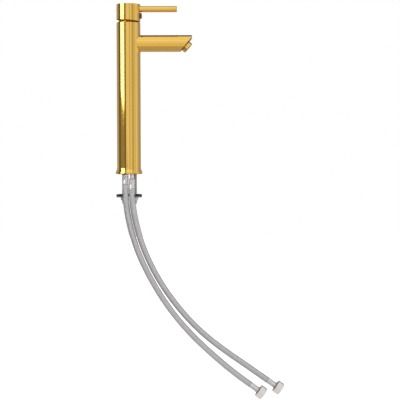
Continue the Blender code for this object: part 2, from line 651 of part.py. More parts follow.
def horseshoe_outlines():
    """The edge and the two windows of a horseshoe whose mouth opens towards -Y."""
    tip = HORSESHOE_INNER + HORSESHOE_TIP
    tip_angle = math.degrees(math.atan2(HORSESHOE_ARM, tip))
    half_edge = [(HORSESHOE_INNER, 0)]
    half_edge += arc((tip, -HORSESHOE_ARM), HORSESHOE_TIP, 180, 360 - tip_angle, 6)
    half_edge += arc((0, 0), HORSESHOE_RADIUS, 3 - tip_angle, 90, 16)
    notch = arc((0, NOTCH_END - NOTCH_RADIUS), NOTCH_RADIUS, 180, 0, 8)
    mirrored = [(-x, y) for x, y in half_edge[::-1]][1:]
    edge = half_edge + mirrored + [(-NOTCH_RADIUS, 0)] + notch + [(NOTCH_RADIUS, 0)]
    windows = []
    middle = WINDOW_BAR + WINDOW_WIDTH / 2
    for side in (-1, 1):
        window = []
        for corner, (across_sign, along_sign) in enumerate(((1, 1), (-1, 1), (-1, -1), (1, -1))):
            x = side * STUD_SPREAD + across_sign * (WINDOW_LENGTH / 2 - WINDOW_CORNER)
            y = middle + along_sign * (WINDOW_WIDTH / 2 - WINDOW_CORNER)
            window += arc((x, y), WINDOW_CORNER, 90 * corner, 90 * corner + 90, 3)
        windows.append(window)
    return [edge, *windows], middle


def make_fixings():
    stud_top = BLOCK_BOTTOM + STUD_IN_BLOCK
    stud_end = stud_top - STUD_LENGTH
    nut_bottom = stud_end + STUD_NUT_FROM_END
    nut_top = nut_bottom + STUD_NUT_HEIGHT
    washer_bottom = nut_top + GAP
    plate_bottom = washer_bottom + WASHER_THICKNESS + GAP
    pad_bottom = plate_bottom + PLATE_THICKNESS + GAP
    hole = STUD_RADIUS + GAP
    for side, place in stud_places().items():
        stud = drum(f"stud_{side}", STUD_RADIUS, stud_end, stud_top, ZINC, place, sides=COARSE)
        soften(stud, EDGE_BEVEL)
        nut_radius = corner_radius(STUD_NUT_ACROSS)
        nut = drum(f"stud_nut_{side}", nut_radius, nut_bottom, nut_top, ZINC, place, sides=6)
        soften(nut, EDGE_BEVEL, angle=70)
        combine(nut, drum(f"stud_nut_{side}_bore", hole, 2 * stud_end, 0, None, place))
        levels = (washer_bottom, washer_bottom + WASHER_THICKNESS)
        ring(f"stud_washer_{side}", WASHER_RADIUS, hole, *levels, ZINC, place, sides=COARSE)
    outlines, window_middle = horseshoe_outlines()
    middle_y = STUD_BACK - window_middle
    plate_middle = plate_bottom + PLATE_THICKNESS / 2
    flat_outline("clamp_plate", outlines, PLATE_THICKNESS, (0, middle_y, plate_middle), STEEL)
    pad_middle = pad_bottom + PAD_THICKNESS / 2
    flat_outline("clamp_gasket", outlines, PAD_THICKNESS, (0, middle_y, pad_middle), RUBBER)


def make_hose(name):
    route = smooth_route(HOSE_ROUTES[name], ROUTE_STEPS)
    tube(f"hose_{name}", route, HOSE_RADIUS, BRAID)

    start = route[0]
    ferrule_bottom = start.z + GAP
    levels = (ferrule_bottom, ferrule_bottom + FERRULE_LENGTH)
    inner = HOSE_TAIL_RADIUS + GAP
    place = (start.x, start.y, 0)
    ring(f"top_ferrule_{name}", FERRULE_RADIUS, inner, *levels, NICKEL, place, sides=COARSE)
    thread_bottom = BLOCK_BOTTOM - HOSE_THREAD_SHOULDER
    thread_top = BLOCK_BOTTOM + HOSE_THREAD_LENGTH
    fitting = [
        (HOSE_THREAD_RADIUS, thread_top),
        (HOSE_THREAD_RADIUS, thread_bottom),
        (HOSE_TAIL_RADIUS, thread_bottom),
        (HOSE_TAIL_RADIUS, ferrule_bottom),
        (HOSE_BORE, ferrule_bottom),
        (HOSE_BORE, thread_top),
    ]
    turned(f"hose_stem_{name}", fitting, NICKEL, place, sides=COARSE)

    end = route[-1]
    out = (end - route[-2]).normalized()
    ferrule_end = GAP + FERRULE_LENGTH
    lip = FERRULE_RADIUS + FERRULE_LIP
    ferrule = [
        (lip, GAP),
        (lip, GAP + 2 * FERRULE_LIP),
        (FERRULE_RADIUS, GAP + 4 * FERRULE_LIP),
        (FERRULE_RADIUS, ferrule_end),
        (inner, ferrule_end),
        (inner, GAP),
    ]
    turned(f"end_ferrule_{name}", ferrule, NICKEL, end, out, COARSE)
    nut_start = ferrule_end + 2 * GAP
    floor_end = nut_start + HOSE_NUT_FLOOR
    flange_start = floor_end + GAP
    flange_end = flange_start + TAIL_FLANGE
    collar_start = ferrule_end + GAP
    tail = [
        (HOSE_TAIL_RADIUS, 2 * GAP),
        (HOSE_TAIL_RADIUS, collar_start),
        (TAIL_COLLAR, collar_start),
        (TAIL_COLLAR, flange_start),
        (TAIL_FLANGE_RADIUS, flange_start),
        (TAIL_FLANGE_RADIUS, flange_end),
        (HOSE_BORE, flange_end),
        (HOSE_BORE, 2 * GAP),
    ]
    turned(f"hose_tail_{name}", tail, NICKEL, end, out, COARSE)
    nut_faces = [end + out * nut_start, end + out * (nut_start + HOSE_NUT_HEIGHT)]
    nut = rod(f"hose_nut_{name}", corner_radius(HOSE_NUT_ACROSS), *nut_faces, NICKEL, 6)
    soften(nut, EDGE_BEVEL, angle=70)
    throat = TAIL_COLLAR + 2 * GAP
    beyond = end + out * 2 * (nut_start + HOSE_NUT_HEIGHT)
    combine(nut, rod(f"{name}_nut_throat", throat, end, beyond))
    combine(nut, rod(f"{name}_nut_bore", HOSE_NUT_BORE, end + out * floor_end, beyond, sides=MEDIUM))
    rims = (HOSE_NUT_BORE - 2 * GAP, HOSE_TAIL_RADIUS)
    washer_start = flange_end + GAP
    levels = (washer_start, washer_start + NUT_WASHER)
    ring(f"nut_washer_{name}", *rims, *levels, RUBBER, end, out, COARSE)


make_column()
make_spout()
make_handle()
make_base(make_cartridge())
make_fixings()
for hose_name in HOSE_ROUTES:
    make_hose(hose_name)
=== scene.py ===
import math

import bmesh
import bpy
from mathutils import Matrix, Vector


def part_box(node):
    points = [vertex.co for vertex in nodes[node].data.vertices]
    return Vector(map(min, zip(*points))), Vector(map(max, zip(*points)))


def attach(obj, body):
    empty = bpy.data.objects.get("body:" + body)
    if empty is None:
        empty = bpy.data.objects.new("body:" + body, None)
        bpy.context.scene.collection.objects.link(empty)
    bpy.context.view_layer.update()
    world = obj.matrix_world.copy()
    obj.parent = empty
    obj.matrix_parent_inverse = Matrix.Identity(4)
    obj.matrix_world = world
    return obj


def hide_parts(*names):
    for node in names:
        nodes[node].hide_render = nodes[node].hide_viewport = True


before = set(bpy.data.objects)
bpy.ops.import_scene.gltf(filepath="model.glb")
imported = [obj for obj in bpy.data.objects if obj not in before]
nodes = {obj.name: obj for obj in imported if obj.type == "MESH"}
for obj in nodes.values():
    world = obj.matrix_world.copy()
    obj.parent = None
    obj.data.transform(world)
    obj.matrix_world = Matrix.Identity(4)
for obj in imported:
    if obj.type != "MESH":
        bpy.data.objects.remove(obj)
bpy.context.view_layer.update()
mm = 0.001
gap = 0.3 * mm  # between pieces that touch
ahead, leftward, upward = Vector((1, 0, 0)), Vector((0, 1, 0)), Vector((0, 0, 1))


cameraPlace = {
    "azimuth": 5.3,  # degrees towards the spout's side
    "distance": 2.0,
    "height": 0.069,
    "turn": 3.98,  # away from the column, so that it stands left of the middle
    "dip": 3.45,
    "lens": 91.8,
}


def placeCamera():
    azimuth = math.radians(cameraPlace["azimuth"])
    reach = cameraPlace["distance"]
    spot = (reach * math.sin(azimuth), -reach * math.cos(azimuth), cameraPlace["height"])
    heading = math.radians(cameraPlace["azimuth"] - cameraPlace["turn"])
    tilt = math.radians(90 - cameraPlace["dip"])
    bpy.ops.object.camera_add(location=spot, rotation=(tilt, 0, heading))
    camera = bpy.context.object
    camera.data.lens = cameraPlace["lens"]
    bpy.context.scene.camera = camera


placeCamera()
print("camera placed")


def deselect():
    if bpy.context.object and bpy.context.object.mode == "EDIT":
        bpy.ops.object.mode_set(mode="OBJECT")
    bpy.ops.object.select_all(action="DESELECT")


def hold(piece):
    deselect()
    piece.select_set(True)
    bpy.context.view_layer.objects.active = piece


def settle(name):  # names what was just added, and puts its place into its mesh
    piece = bpy.context.object
    piece.name = name
    piece.data.name = name
    bpy.ops.object.transform_apply(location=True, rotation=True, scale=True)
    return piece


def openUp(piece):
    hold(piece)
    bpy.ops.object.mode_set(mode="EDIT")
    bpy.ops.mesh.select_all(action="DESELECT")


def pickVertices(piece, test):
    bpy.ops.mesh.select_mode(type="VERT")
    bpy.ops.mesh.select_all(action="DESELECT")
    form = bmesh.from_edit_mesh(piece.data)
    for vertex in form.verts:
        vertex.select_set(test(vertex.co))
    form.select_flush(True)
    bmesh.update_edit_mesh(piece.data)


def closeUp():
    bpy.ops.mesh.select_all(action="SELECT")
    bpy.ops.mesh.remove_doubles(threshold=mm / 1000)
    bpy.ops.mesh.normals_make_consistent(inside=False)
    bpy.ops.object.mode_set(mode="OBJECT")


def drawLine(name, points):  # one vertex, drawn out point by point in the XZ plane
    deselect()
    x, z = points[0]
    bpy.ops.mesh.primitive_plane_add(size=mm, location=(x, 0, z))
    piece = settle(name)
    openUp(piece)
    bpy.ops.mesh.select_all(action="SELECT")
    bpy.ops.mesh.merge(type="CENTER")
    for nextX, nextZ in points[1:]:
        step = {"value": (nextX - x, 0, nextZ - z)}
        bpy.ops.mesh.extrude_vertices_move(TRANSFORM_OT_translate=step)
        x, z = nextX, nextZ
    return piece


def moveTo(piece, spot, direction):  # stands a piece drawn along +Z at a spot, along a direction
    hold(piece)
    swing = upward.rotation_difference(direction).to_matrix().to_4x4()
    piece.matrix_world = Matrix.Translation(spot) @ swing
    bpy.ops.object.transform_apply(location=True, rotation=True, scale=True)
    return piece


def turned(name, outline, sides=96, spot=(0, 0, 0), direction=upward):
    # (radius, height) points, from the axis to the axis or round to the first point again
    piece = drawLine(name, outline)
    bpy.ops.mesh.select_all(action="SELECT")
    bpy.ops.mesh.spin(steps=sides, angle=math.tau, center=(0, 0, 0), axis=(0, 0, 1))
    closeUp()
    return moveTo(piece, spot, direction)


def ringOutline(outer, inner, bottom, top):
    return [(outer, top), (outer, bottom), (inner, bottom), (inner, top), (outer, top)]


def rodOutline(radius, bottom, top):
    return [(0, top), (radius, top), (radius, bottom), (0, bottom)]


def lyingRod(name, radius, height, start, end, sides=96):  # a bar along X
    return turned(name, rodOutline(radius, start, end), sides, (0, 0, height), ahead)


def cut(piece, *cutters, how="DIFFERENCE"):
    for cutter in cutters:
        hold(piece)
        bpy.ops.object.modifier_add(type="BOOLEAN")
        boolean = piece.modifiers[-1]
        boolean.operation = how
        boolean.solver = "EXACT"
        boolean.object = cutter
        bpy.ops.object.modifier_apply(modifier=boolean.name)
        bpy.data.objects.remove(cutter)
    return piece


def sliceOff(piece, spot, normal):  # takes away what is on the normal's side, and closes the cut
    openUp(piece)
    bpy.ops.mesh.select_all(action="SELECT")
    bpy.ops.mesh.bisect(plane_co=spot, plane_no=normal, use_fill=True, clear_outer=True)
    bpy.ops.object.mode_set(mode="OBJECT")


def loops(piece, spots, normal):  # extra edge rings, so that long faces end near a hole
    openUp(piece)
    for spot in spots:
        bpy.ops.mesh.select_all(action="SELECT")
        bpy.ops.mesh.bisect(plane_co=spot, plane_no=normal)
    bpy.ops.object.mode_set(mode="OBJECT")


def soften(piece, width, segments=3, angle=30):
    hold(piece)
    bpy.ops.object.shade_smooth_by_angle(angle=math.radians(angle))
    bpy.ops.object.modifier_add(type="BEVEL")
    bevel = piece.modifiers[-1]
    bevel.width = width
    bevel.segments = segments
    bevel.limit_method = "ANGLE"
    bevel.angle_limit = math.radians(angle)
    bevel.harden_normals = True
    bpy.ops.object.modifier_apply(modifier=bevel.name)
    return piece


def arcPoints(centre, radius, start, end, steps):  # angles in degrees, from the X axis
    turns = [math.radians(start + (end - start) * step / steps) for step in range(steps + 1)]
    return [(centre[0] + radius * math.cos(turn), centre[1] + radius * math.sin(turn)) for turn in turns]


def copyTo(piece, name, offset):  # each copy has its own mesh
    hold(piece)
    bpy.ops.object.duplicate(linked=False)
    bpy.context.object.location = offset
    return settle(name)


def place(piece, body, slot, finish, *replaced):
    deselect()
    piece.data.materials.clear()
    piece.data.materials.append(finish)
    if replaced:
        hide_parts(*replaced)
    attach(piece, body)
    return piece


class Wire:  # a shader socket that sums can be written with
    def __init__(self, finish, socket):
        self.finish = finish
        self.socket = socket

    def sum(self, operation, *values):
        return self.finish.node("ShaderNodeMath", {"operation": operation}, dict(enumerate(values)))

    def __add__(self, other):
        return self.sum("ADD", self, other)

    def __sub__(self, other):
        return self.sum("SUBTRACT", self, other)

    def __rsub__(self, other):
        return self.sum("SUBTRACT", other, self)

    def __mul__(self, other):
        return self.sum("MULTIPLY", self, other)

    def __gt__(self, other):
        return self.sum("GREATER_THAN", self, other)

    __radd__ = __add__
    __rmul__ = __mul__

    def floor(self):
        return self.sum("FLOOR", self)

    def fraction(self):
        return self.sum("FRACT", self)

    def cosine(self):
        return self.sum("COSINE", self)

    def size(self):
        return self.sum("ABSOLUTE", self)

    def larger(self, other):
        return self.sum("MAXIMUM", self, other)

    def power(self, exponent):
        return self.sum("POWER", self, exponent)


class Finish:  # a material with one principled shader
    def __init__(self, name, **shader):
        self.material = bpy.data.materials.new(name)
        self.material.use_nodes = True
        self.tree = self.material.node_tree
        self.shader = self.tree.nodes["Principled BSDF"]
        for socket, value in shader.items():
            self.shader.inputs[socket.replace("_", " ")].default_value = value
        self.spot = self.node("ShaderNodeTexCoord", out="Object")

    def feed(self, socket, value):
        if isinstance(value, Wire):
            self.tree.links.new(value.socket, socket)
        else:
            socket.default_value = value

    def node(self, kind, settings=None, values=None, out=0):
        made = self.tree.nodes.new(kind)
        for setting, value in (settings or {}).items():
            if setting == "stops":
                for place, colour in value[1:-1]:
                    made.color_ramp.elements.new(place)
                for element, (place, colour) in zip(made.color_ramp.elements, value):
                    element.position = place
                    element.color = (*colour, 1)
            else:
                setattr(made, setting, value)
        for socket, value in (values or {}).items():
            self.feed(made.inputs[socket], value)
        return Wire(self, made.outputs[out])

    def noise(self, scale, detail=2, stretch=(1, 1, 1), turn=(0, 0, 0)):  # scale is in waves a metre
        where = self.spot
        if stretch != (1, 1, 1) or turn != (0, 0, 0):
            where = self.node("ShaderNodeMapping", {}, {"Vector": where, "Rotation": turn, "Scale": stretch})
        return self.node("ShaderNodeTexNoise", {}, {"Vector": where, "Scale": scale, "Detail": detail})

    def part(self, where, axis):
        return self.node("ShaderNodeSeparateXYZ", {}, {"Vector": where}, out=axis)

    def blend(self, factor, first, second):
        colours = {0: factor, 6: (*first, 1) if isinstance(first, tuple) else first}
        colours[7] = (*second, 1) if isinstance(second, tuple) else second
        return self.node("ShaderNodeMix", {"data_type": "RGBA"}, colours, out=2)

    def paint(self, **inputs):  # feeds the shader
        for socket, value in inputs.items():
            self.feed(self.shader.inputs[socket.replace("_", " ")], value)

    def relief(self, height, depth, strength=1.0):
        values = {"Height": height, "Distance": depth, "Strength": strength}
        self.paint(Normal=self.node("ShaderNodeBump", {}, values))


goldLook = {
    "bright": (0.93, 0.57, 0.065),
    "deep": (0.88, 0.52, 0.05),
    "roughness": 0.07,
    "haze": 0.08,
}


def makeGold():
    finish = Finish("polishedGold", Metallic=1.0, Coat_Weight=1.0, Coat_Roughness=0.03, Coat_IOR=1.75)
    clouds = finish.noise(28, 3)
    haze = finish.noise(240, 4)
    wipes = finish.noise(700, 3, stretch=(1, 1, 0.06))  # polishing lines along the column
    peel = finish.noise(420, 2)
    finish.paint(
        Base_Color=finish.blend(clouds, goldLook["bright"], goldLook["deep"]),
        Roughness=goldLook["roughness"] + goldLook["haze"] * haze * wipes,
    )
    finish.relief(peel * 0.7 + wipes * 0.3, 0.005 * mm, 0.1)
    return finish.material


def makeMetal(
    name, bright, dull, roughness, spread, grain=900, stretch=(0.05, 0.05, 1), depth=0.03, metallic=1.0
):
    # a worked metal: clouded colour, and tool marks round the Z axis
    finish = Finish(name, Metallic=metallic)
    clouds = finish.noise(90, 3)
    marks = finish.noise(grain, 3, stretch=stretch)
    finish.paint(
        Base_Color=finish.blend(clouds * 0.7 + marks * 0.3, bright, dull),
        Roughness=roughness + spread * marks,
    )
    finish.relief(marks, depth * mm, 0.5)
    return finish.material


def makeSpangle(name, bright, dull, roughness):  # zinc plating, with its faint crystals
    finish = Finish(name, Metallic=1.0)
    crystals = finish.node("ShaderNodeTexVoronoi", {}, {"Vector": finish.spot, "Scale": 700}, out="Color")
    split = finish.node("ShaderNodeSeparateColor", {}, {"Color": crystals}, out="Red")
    film = finish.noise(160, 4)
    finish.paint(
        Base_Color=finish.blend(split * 0.5 + film * 0.5, bright, dull),
        Roughness=roughness + 0.18 * film,
    )
    finish.relief(film * 0.6 + split * 0.4, 0.02 * mm, 0.4)
    return finish.material


def makePlateSteel():  # sheet steel, rolled and clouded
    finish = Finish("plateSteel", Metallic=0.85)
    clouds = finish.noise(110, 4)
    rolled = finish.noise(500, 3, stretch=(0.08, 1, 1))
    pits = finish.noise(1500, 2)
    finish.paint(
        Base_Color=finish.blend(clouds * 0.7 + rolled * 0.3, (0.44, 0.43, 0.46), (0.15, 0.145, 0.165)),
        Roughness=0.38 + 0.22 * clouds + 0.08 * rolled,
    )
    finish.relief(rolled * 0.6 + pits * 0.4, 0.05 * mm, 0.6)
    return finish.material


def makeRubber(name, colour, dusty):
    finish = Finish(name, Specular_IOR_Level=0.35)
    grain = finish.noise(2600, 3)
    bloom = finish.noise(120, 4)
    finish.paint(
        Base_Color=finish.blend(bloom.power(2.5), colour, dusty),
        Roughness=0.52 + 0.25 * bloom,
    )
    finish.relief(grain, 0.06 * mm, 0.5)
    return finish.material


def makePlastic(name, colour, shade, roughness, translucence=0.0):
    finish = Finish(name, Subsurface_Weight=translucence)
    flow = finish.noise(60, 3, stretch=(1, 1, 0.4))
    grain = finish.noise(1800, 2)
    finish.paint(
        Base_Color=finish.blend(flow, colour, shade),
        Roughness=roughness + 0.14 * grain,
    )
    finish.relief(grain * 0.5 + flow * 0.5, 0.03 * mm, 0.35)
    return finish.material


def makeIndex():  # hot and cold halves, moulded in two colours
    finish = Finish("indexPlastic", Coat_Weight=0.25, Coat_Roughness=0.15)
    across = finish.part(finish.spot, "Y")
    mottle = finish.noise(900, 3)
    cold = across + (mottle - 0.5) * (0.1 * mm) > 0.0
    hot = finish.blend(mottle, (0.17, 0.020, 0.006), (0.12, 0.014, 0.005))
    blue = finish.blend(mottle, (0.012, 0.06, 0.40), (0.010, 0.04, 0.30))
    finish.paint(Base_Color=finish.blend(cold, hot, blue), Roughness=0.25 + 0.12 * mottle)
    finish.relief(mottle, 0.02 * mm, 0.3)
    return finish.material


braid = {
    "radius": 6.0 * mm,  # over the strands
    "strands": 12,  # each way round the hose
    "lay": 37.7 * mm,  # of hose for one turn of a strand
    "relief": 0.4 * mm,
    "wires": 5,  # side by side in a strand
    "samples": 6,  # mesh columns for each strand
}


def makeBraid():  # stainless wires, plaited one over one under
    finish = Finish("stainlessBraid", Metallic=0.85)
    place = finish.node("ShaderNodeUVMap", {"uv_map": "braid"})
    turns = finish.part(place, "X")
    lays = finish.part(place, "Y")
    right = (turns + lays) * braid["strands"]
    left = (turns - lays) * braid["strands"]
    acrossRight = right.fraction() - 0.5
    acrossLeft = left.fraction() - 0.5
    over = 1 - 4 * ((right.floor() + left.floor()) * 0.5).fraction()
    rightTop = (acrossRight * math.pi).cosine() + over * (acrossLeft * math.pi).cosine()
    leftTop = (acrossLeft * math.pi).cosine() - over * (acrossRight * math.pi).cosine()
    rightShows = rightTop > leftTop
    wireTurn = math.pi * braid["wires"]
    rightWire = (acrossRight * wireTurn).cosine().size()
    leftWire = (acrossLeft * wireTurn).cosine().size()
    wire = rightShows * rightWire + (1 - rightShows) * leftWire
    height = rightTop.larger(leftTop) * 0.5
    tarnish = finish.noise(150, 3)
    bright = finish.blend(tarnish, (0.90, 0.90, 0.91), (0.76, 0.76, 0.78))
    # painted highlight on the crowns of strands and wires, and painted shade in the valleys between them
    paintedLightAndShade = (height * 0.75 + wire * 0.35).power(1.3)
    finish.paint(
        # painted shade: near black (0.13) in the valleys, running up to the lit steel colour on the crowns
        Base_Color=finish.blend(paintedLightAndShade, (0.13, 0.13, 0.135), bright),
        Roughness=0.34 - 0.12 * wire + 0.08 * tarnish,
    )
    finish.relief(wire, 0.05 * mm, 0.6)
    return finish.material


goldFinish = makeGold()
brassFinish = makeMetal("turnedBrass", (0.80, 0.60, 0.27), (0.66, 0.46, 0.18), 0.22, 0.22)
copperFinish = makeMetal("drawnCopper", (0.86, 0.47, 0.30), (0.60, 0.27, 0.16), 0.25, 0.2, 500, (1, 1, 0.05))
ferruleFinish = makeMetal("crimpedSteel", (0.88, 0.88, 0.89), (0.66, 0.66, 0.68), 0.30, 0.2, 700, (1, 1, 0.4))
nickelFinish = makeMetal(
    "satinNickel", (0.86, 0.84, 0.82), (0.78, 0.76, 0.74), 0.30, 0.14, 1100, (1, 1, 1), 0.02, 0.7
)
# the neck dome's gold is a darker, duller copy of the polished gold: painted shade for the narrow gap under
# the handle
neckShadeFinish = makeMetal("paintedShadeGold", (0.74, 0.52, 0.17), (0.66, 0.45, 0.13), 0.14, 0.10, 500, (1, 1, 1), 0.01)
stemFinish = makeMetal("stemSteel", (0.62, 0.62, 0.63), (0.50, 0.50, 0.52), 0.26, 0.18)
zincFinish = makeSpangle("zincPlate", (0.74, 0.75, 0.77), (0.52, 0.53, 0.56), 0.26)
plateFinish = makePlateSteel()
rubberFinish = makeRubber("blackRubber", (0.011, 0.012, 0.014), (0.035, 0.036, 0.038))
ceramicFinish = makePlastic("ceramic", (0.86, 0.84, 0.79), (0.80, 0.77, 0.71), 0.16)
cartridgeFinish = makePlastic("acetal", (0.72, 0.72, 0.70), (0.62, 0.63, 0.62), 0.34, 0.08)
strainerFinish = makePlastic("strainerAcetal", (0.66, 0.67, 0.68), (0.55, 0.56, 0.58), 0.36, 0.08)
indexFinish = makeIndex()
braidFinish = makeBraid()
print("finishes made")


hoseRoutes = {
    "hot": [
        (-0.0063, -0.0055, -0.0203), (-0.0063, -0.0055, -0.032), (-0.0060, -0.0055, -0.046),
        (-0.0048, -0.0056, -0.062), (-0.0023, -0.0058, -0.080), (0.0020, -0.0061, -0.101),
        (0.0086, -0.0065, -0.126), (0.0182, -0.0070, -0.154), (0.0315, -0.0076, -0.184),
        (0.0485, -0.0082, -0.216), (0.0690, -0.0088, -0.249), (0.0935, -0.0093, -0.282),
        (0.1220, -0.0098, -0.3145), (0.1540, -0.0102, -0.3455), (0.1885, -0.0105, -0.3755),
        (0.2135, -0.0107, -0.3955), (0.2375, -0.0108, -0.413),
    ],
    "cold": [
        (0.0063, -0.0055, -0.0292), (0.0064, -0.0054, -0.040), (0.0071, -0.0052, -0.054),
        (0.0089, -0.0050, -0.070), (0.0120, -0.0047, -0.088), (0.0166, -0.0044, -0.108),
        (0.0230, -0.0040, -0.130), (0.0318, -0.0035, -0.154), (0.0435, -0.0030, -0.180),
        (0.0585, -0.0025, -0.208), (0.0775, -0.0020, -0.2375), (0.1005, -0.0016, -0.2675),
        (0.1275, -0.0012, -0.2975), (0.1590, -0.0009, -0.326), (0.1940, -0.0006, -0.3525),
        (0.2315, -0.0004, -0.3785), (0.2715, -0.0002, -0.4065),
    ],
}  # fmt: skip


def smoothRoute(points, steps):
    points = [Vector(point) for point in points]
    padded = [2 * points[0] - points[1], *points, 2 * points[-1] - points[-2]]
    route = []
    for before, start, end, after in zip(padded, padded[1:], padded[2:], padded[3:]):
        for step in range(steps):
            t = step / steps
            bend = 2 * before - 5 * start + 4 * end - after
            twist = 3 * start - before - 3 * end + after
            route.append(start + ((end - before) * t + bend * t**2 + twist * t**3) / 2)
    return [*route, points[-1]]


def evenRoute(route, spacing):
    reach = [0.0]
    for start, end in zip(route, route[1:]):
        reach.append(reach[-1] + (end - start).length)
    count = round(reach[-1] / spacing)
    even, leg = [], 0
    for number in range(count + 1):
        target = reach[-1] * number / count
        while leg < len(route) - 2 and reach[leg + 1] < target:
            leg += 1
        share = (target - reach[leg]) / (reach[leg + 1] - reach[leg])
        even.append(route[leg].lerp(route[leg + 1], share))
    return even, reach[-1]


def weaveHeight(turns, lays):  # of the uppermost strand, from 0 in a gap to 1 on a crossing
    right, left = braid["strands"] * (turns + lays), braid["strands"] * (turns - lays)
    crownRight = math.cos(math.pi * (right % 1 - 0.5))
    crownLeft = math.cos(math.pi * (left % 1 - 0.5))
    over = 1 if (math.floor(right) + math.floor(left)) % 2 == 0 else -1
    return max(crownRight + over * crownLeft, crownLeft - over * crownRight) / 2


def makeHoseTube(name, points):
    around = braid["strands"] * braid["samples"]
    spacing = braid["lay"] / around
    route, length = evenRoute(smoothRoute(points, 24), spacing)
    vertices, corners, faces = [], [], []
    along = (route[1] - route[0]).normalized()
    across = along.cross(leftward).normalized()
    for number, middle in enumerate(route):
        following = route[min(number + 1, len(route) - 1)]
        behind = route[max(number - 1, 0)]
        along = (following - behind).normalized()
        across = (across - along * across.dot(along)).normalized()
        third = along.cross(across)
        lays = number * spacing / braid["lay"]
        for column in range(around):
            turn = column / around
            depth = braid["relief"] * (1 - weaveHeight(turn, lays))
            out = across * math.cos(math.tau * turn) + third * math.sin(math.tau * turn)
            vertices.append(middle + out * (braid["radius"] - depth))
    for ring in range(len(route) - 1):
        for column in range(around):
            low, high = ring * around, (ring + 1) * around
            beside = (column + 1) % around
            faces.append((low + column, low + beside, high + beside, high + column))
            for u, v in ((column, ring), (column + 1, ring), (column + 1, ring + 1), (column, ring + 1)):
                corners += [u / around, v * spacing / braid["lay"]]
    last = (len(route) - 1) * around
    faces.append(tuple(reversed(range(around))))
    faces.append(tuple(range(last, last + around)))
    corners += [0.0, 0.0] * (2 * around)
    mesh = bpy.data.meshes.new(name)
    mesh.from_pydata(vertices, [], faces)
    mesh.uv_layers.new(name="braid").data.foreach_set("uv", corners)
    mesh.shade_smooth()
    tube = bpy.data.objects.new(name, mesh)
    bpy.context.scene.collection.objects.link(tube)
    return tube, route, length


ferrule = {
    "radius": 5.7 * mm,
    "length": 19.6 * mm,
    "lowerLength": 16.6 * mm,
    "bore": 4.3 * mm,
    "lip": 0.5 * mm,
    "crimps": 8,
    "crimpDepth": 0.35 * mm,
}


def makeFerrule(name, start, direction, length):
    # a pressed sleeve: rolled at the hose's end, with crimped flats along its middle
    radius, lip = ferrule["radius"], ferrule["lip"]
    flare = radius + lip
    outline = [
        (flare - lip, 0), (flare, lip * 0.5), (flare, 2 * lip), (radius, 3.4 * lip),
        (radius, length * 0.2), (radius - lip * 0.5, length * 0.23), (radius, length * 0.26),
        (radius, length * 0.32), (radius, length * 0.5), (radius, length * 0.68), (radius, length * 0.74),
        (radius - lip * 0.5, length * 0.77), (radius, length * 0.8),
        (radius, length - 2 * lip), (radius - 1.5 * lip, length),
        (ferrule["bore"], length), (ferrule["bore"], 0), (flare - lip, 0),
    ]  # fmt: skip
    sleeve = turned(name, outline, sides=64)
    openUp(sleeve)
    pitch = math.tau / ferrule["crimps"]

    def inCrimp(co):
        middle = length * 0.3 < co.z < length * 0.7 and co.xy.length > radius * 0.95
        return middle and abs((math.atan2(co.y, co.x) + math.tau) % pitch - pitch / 2) < pitch * 0.27

    pickVertices(sleeve, inCrimp)
    share = 1 - ferrule["crimpDepth"] / radius
    bpy.ops.transform.resize(value=(share, share, 1), center_override=(0, 0, length / 2))
    bpy.ops.object.mode_set(mode="OBJECT")
    soften(sleeve, 0.15 * mm, 2, angle=28)
    return moveTo(sleeve, start, direction)


hoseSeal = {"collar": 6.4 * mm, "radius": 6 * mm, "length": 1.1 * mm}  # black ring between collar and nut
hoseNut = {
    "across": 23.4 * mm,
    "height": 13 * mm,
    "floor": 3 * mm,
    "bore": 10.3 * mm,
    "throat": 5.6 * mm,
    "threadDepth": 0.7 * mm,
    "pitch": 1.8 * mm,
    "chamfer": 0.9 * mm,
    "bevel": 0.35 * mm,
}


def hexBlank(name, across, bottom, top, chamfer):
    # a hexagon bar whose corners are turned back at both ends
    deselect()
    corner = across / 2 / math.cos(math.pi / 6)
    middle = (0, 0, (bottom + top) / 2)
    bpy.ops.mesh.primitive_cylinder_add(vertices=6, radius=corner, depth=top - bottom, location=middle)
    blank = settle(name)
    flat = corner - chamfer * 1.7
    rim, slope = corner * 1.02, chamfer * 1.2
    lens = [(0, top), (flat, top), (rim, top - slope), (rim, bottom + slope), (flat, bottom), (0, bottom)]
    return cut(blank, turned("lens", lens), how="INTERSECT")


def threadOutline(radius, depth, bottom, top, pitch):  # a tapped hole's cutter, ring by ring
    points = [(0, top), (radius, top)]
    height = top - pitch
    while height > bottom + pitch:
        points += [(radius - depth, height + pitch * 0.15), (radius - depth, height - pitch * 0.05)]
        points += [(radius, height - pitch * 0.35), (radius, height - pitch * 0.5)]
        height -= pitch
    return [*points, (radius, bottom), (0, bottom)]


def makeHoseNut(name, start, direction):
    height, floor, bore = hoseNut["height"], hoseNut["floor"], hoseNut["bore"]
    nut = hexBlank(name, hoseNut["across"], 0, height, hoseNut["chamfer"])
    cut(nut, turned("throat", rodOutline(hoseNut["throat"], -height, height / 2), 64))
    leadIn = hoseNut["chamfer"]
    thread = threadOutline(bore, hoseNut["threadDepth"], floor, height - 1.2 * mm, hoseNut["pitch"])
    mouth = [(0, height * 2), (bore + leadIn, height * 2), (bore + leadIn, height), (bore, height - leadIn)]
    cut(nut, turned("tapping", [*mouth, *thread[1:]], 64))
    soften(nut, hoseNut["bevel"], 3, angle=25)
    return moveTo(nut, start, direction)


fitting = {
    "thread": 4.9 * mm,
    "threadDepth": 0.5 * mm,
    "threadTurns": 5,
    "threadPitch": 1.25 * mm,
    "shoulder": 5 * mm,  # height of the thread's lower end
    "tail": 4.0 * mm,
    "hole": 2.5 * mm,
    "neck": 4.6 * mm,  # through the nut's floor
    "flange": 8.6 * mm,
    "flangeThickness": 2 * mm,
    "washer": 9.7 * mm,
    "washerThickness": 2 * mm,
}


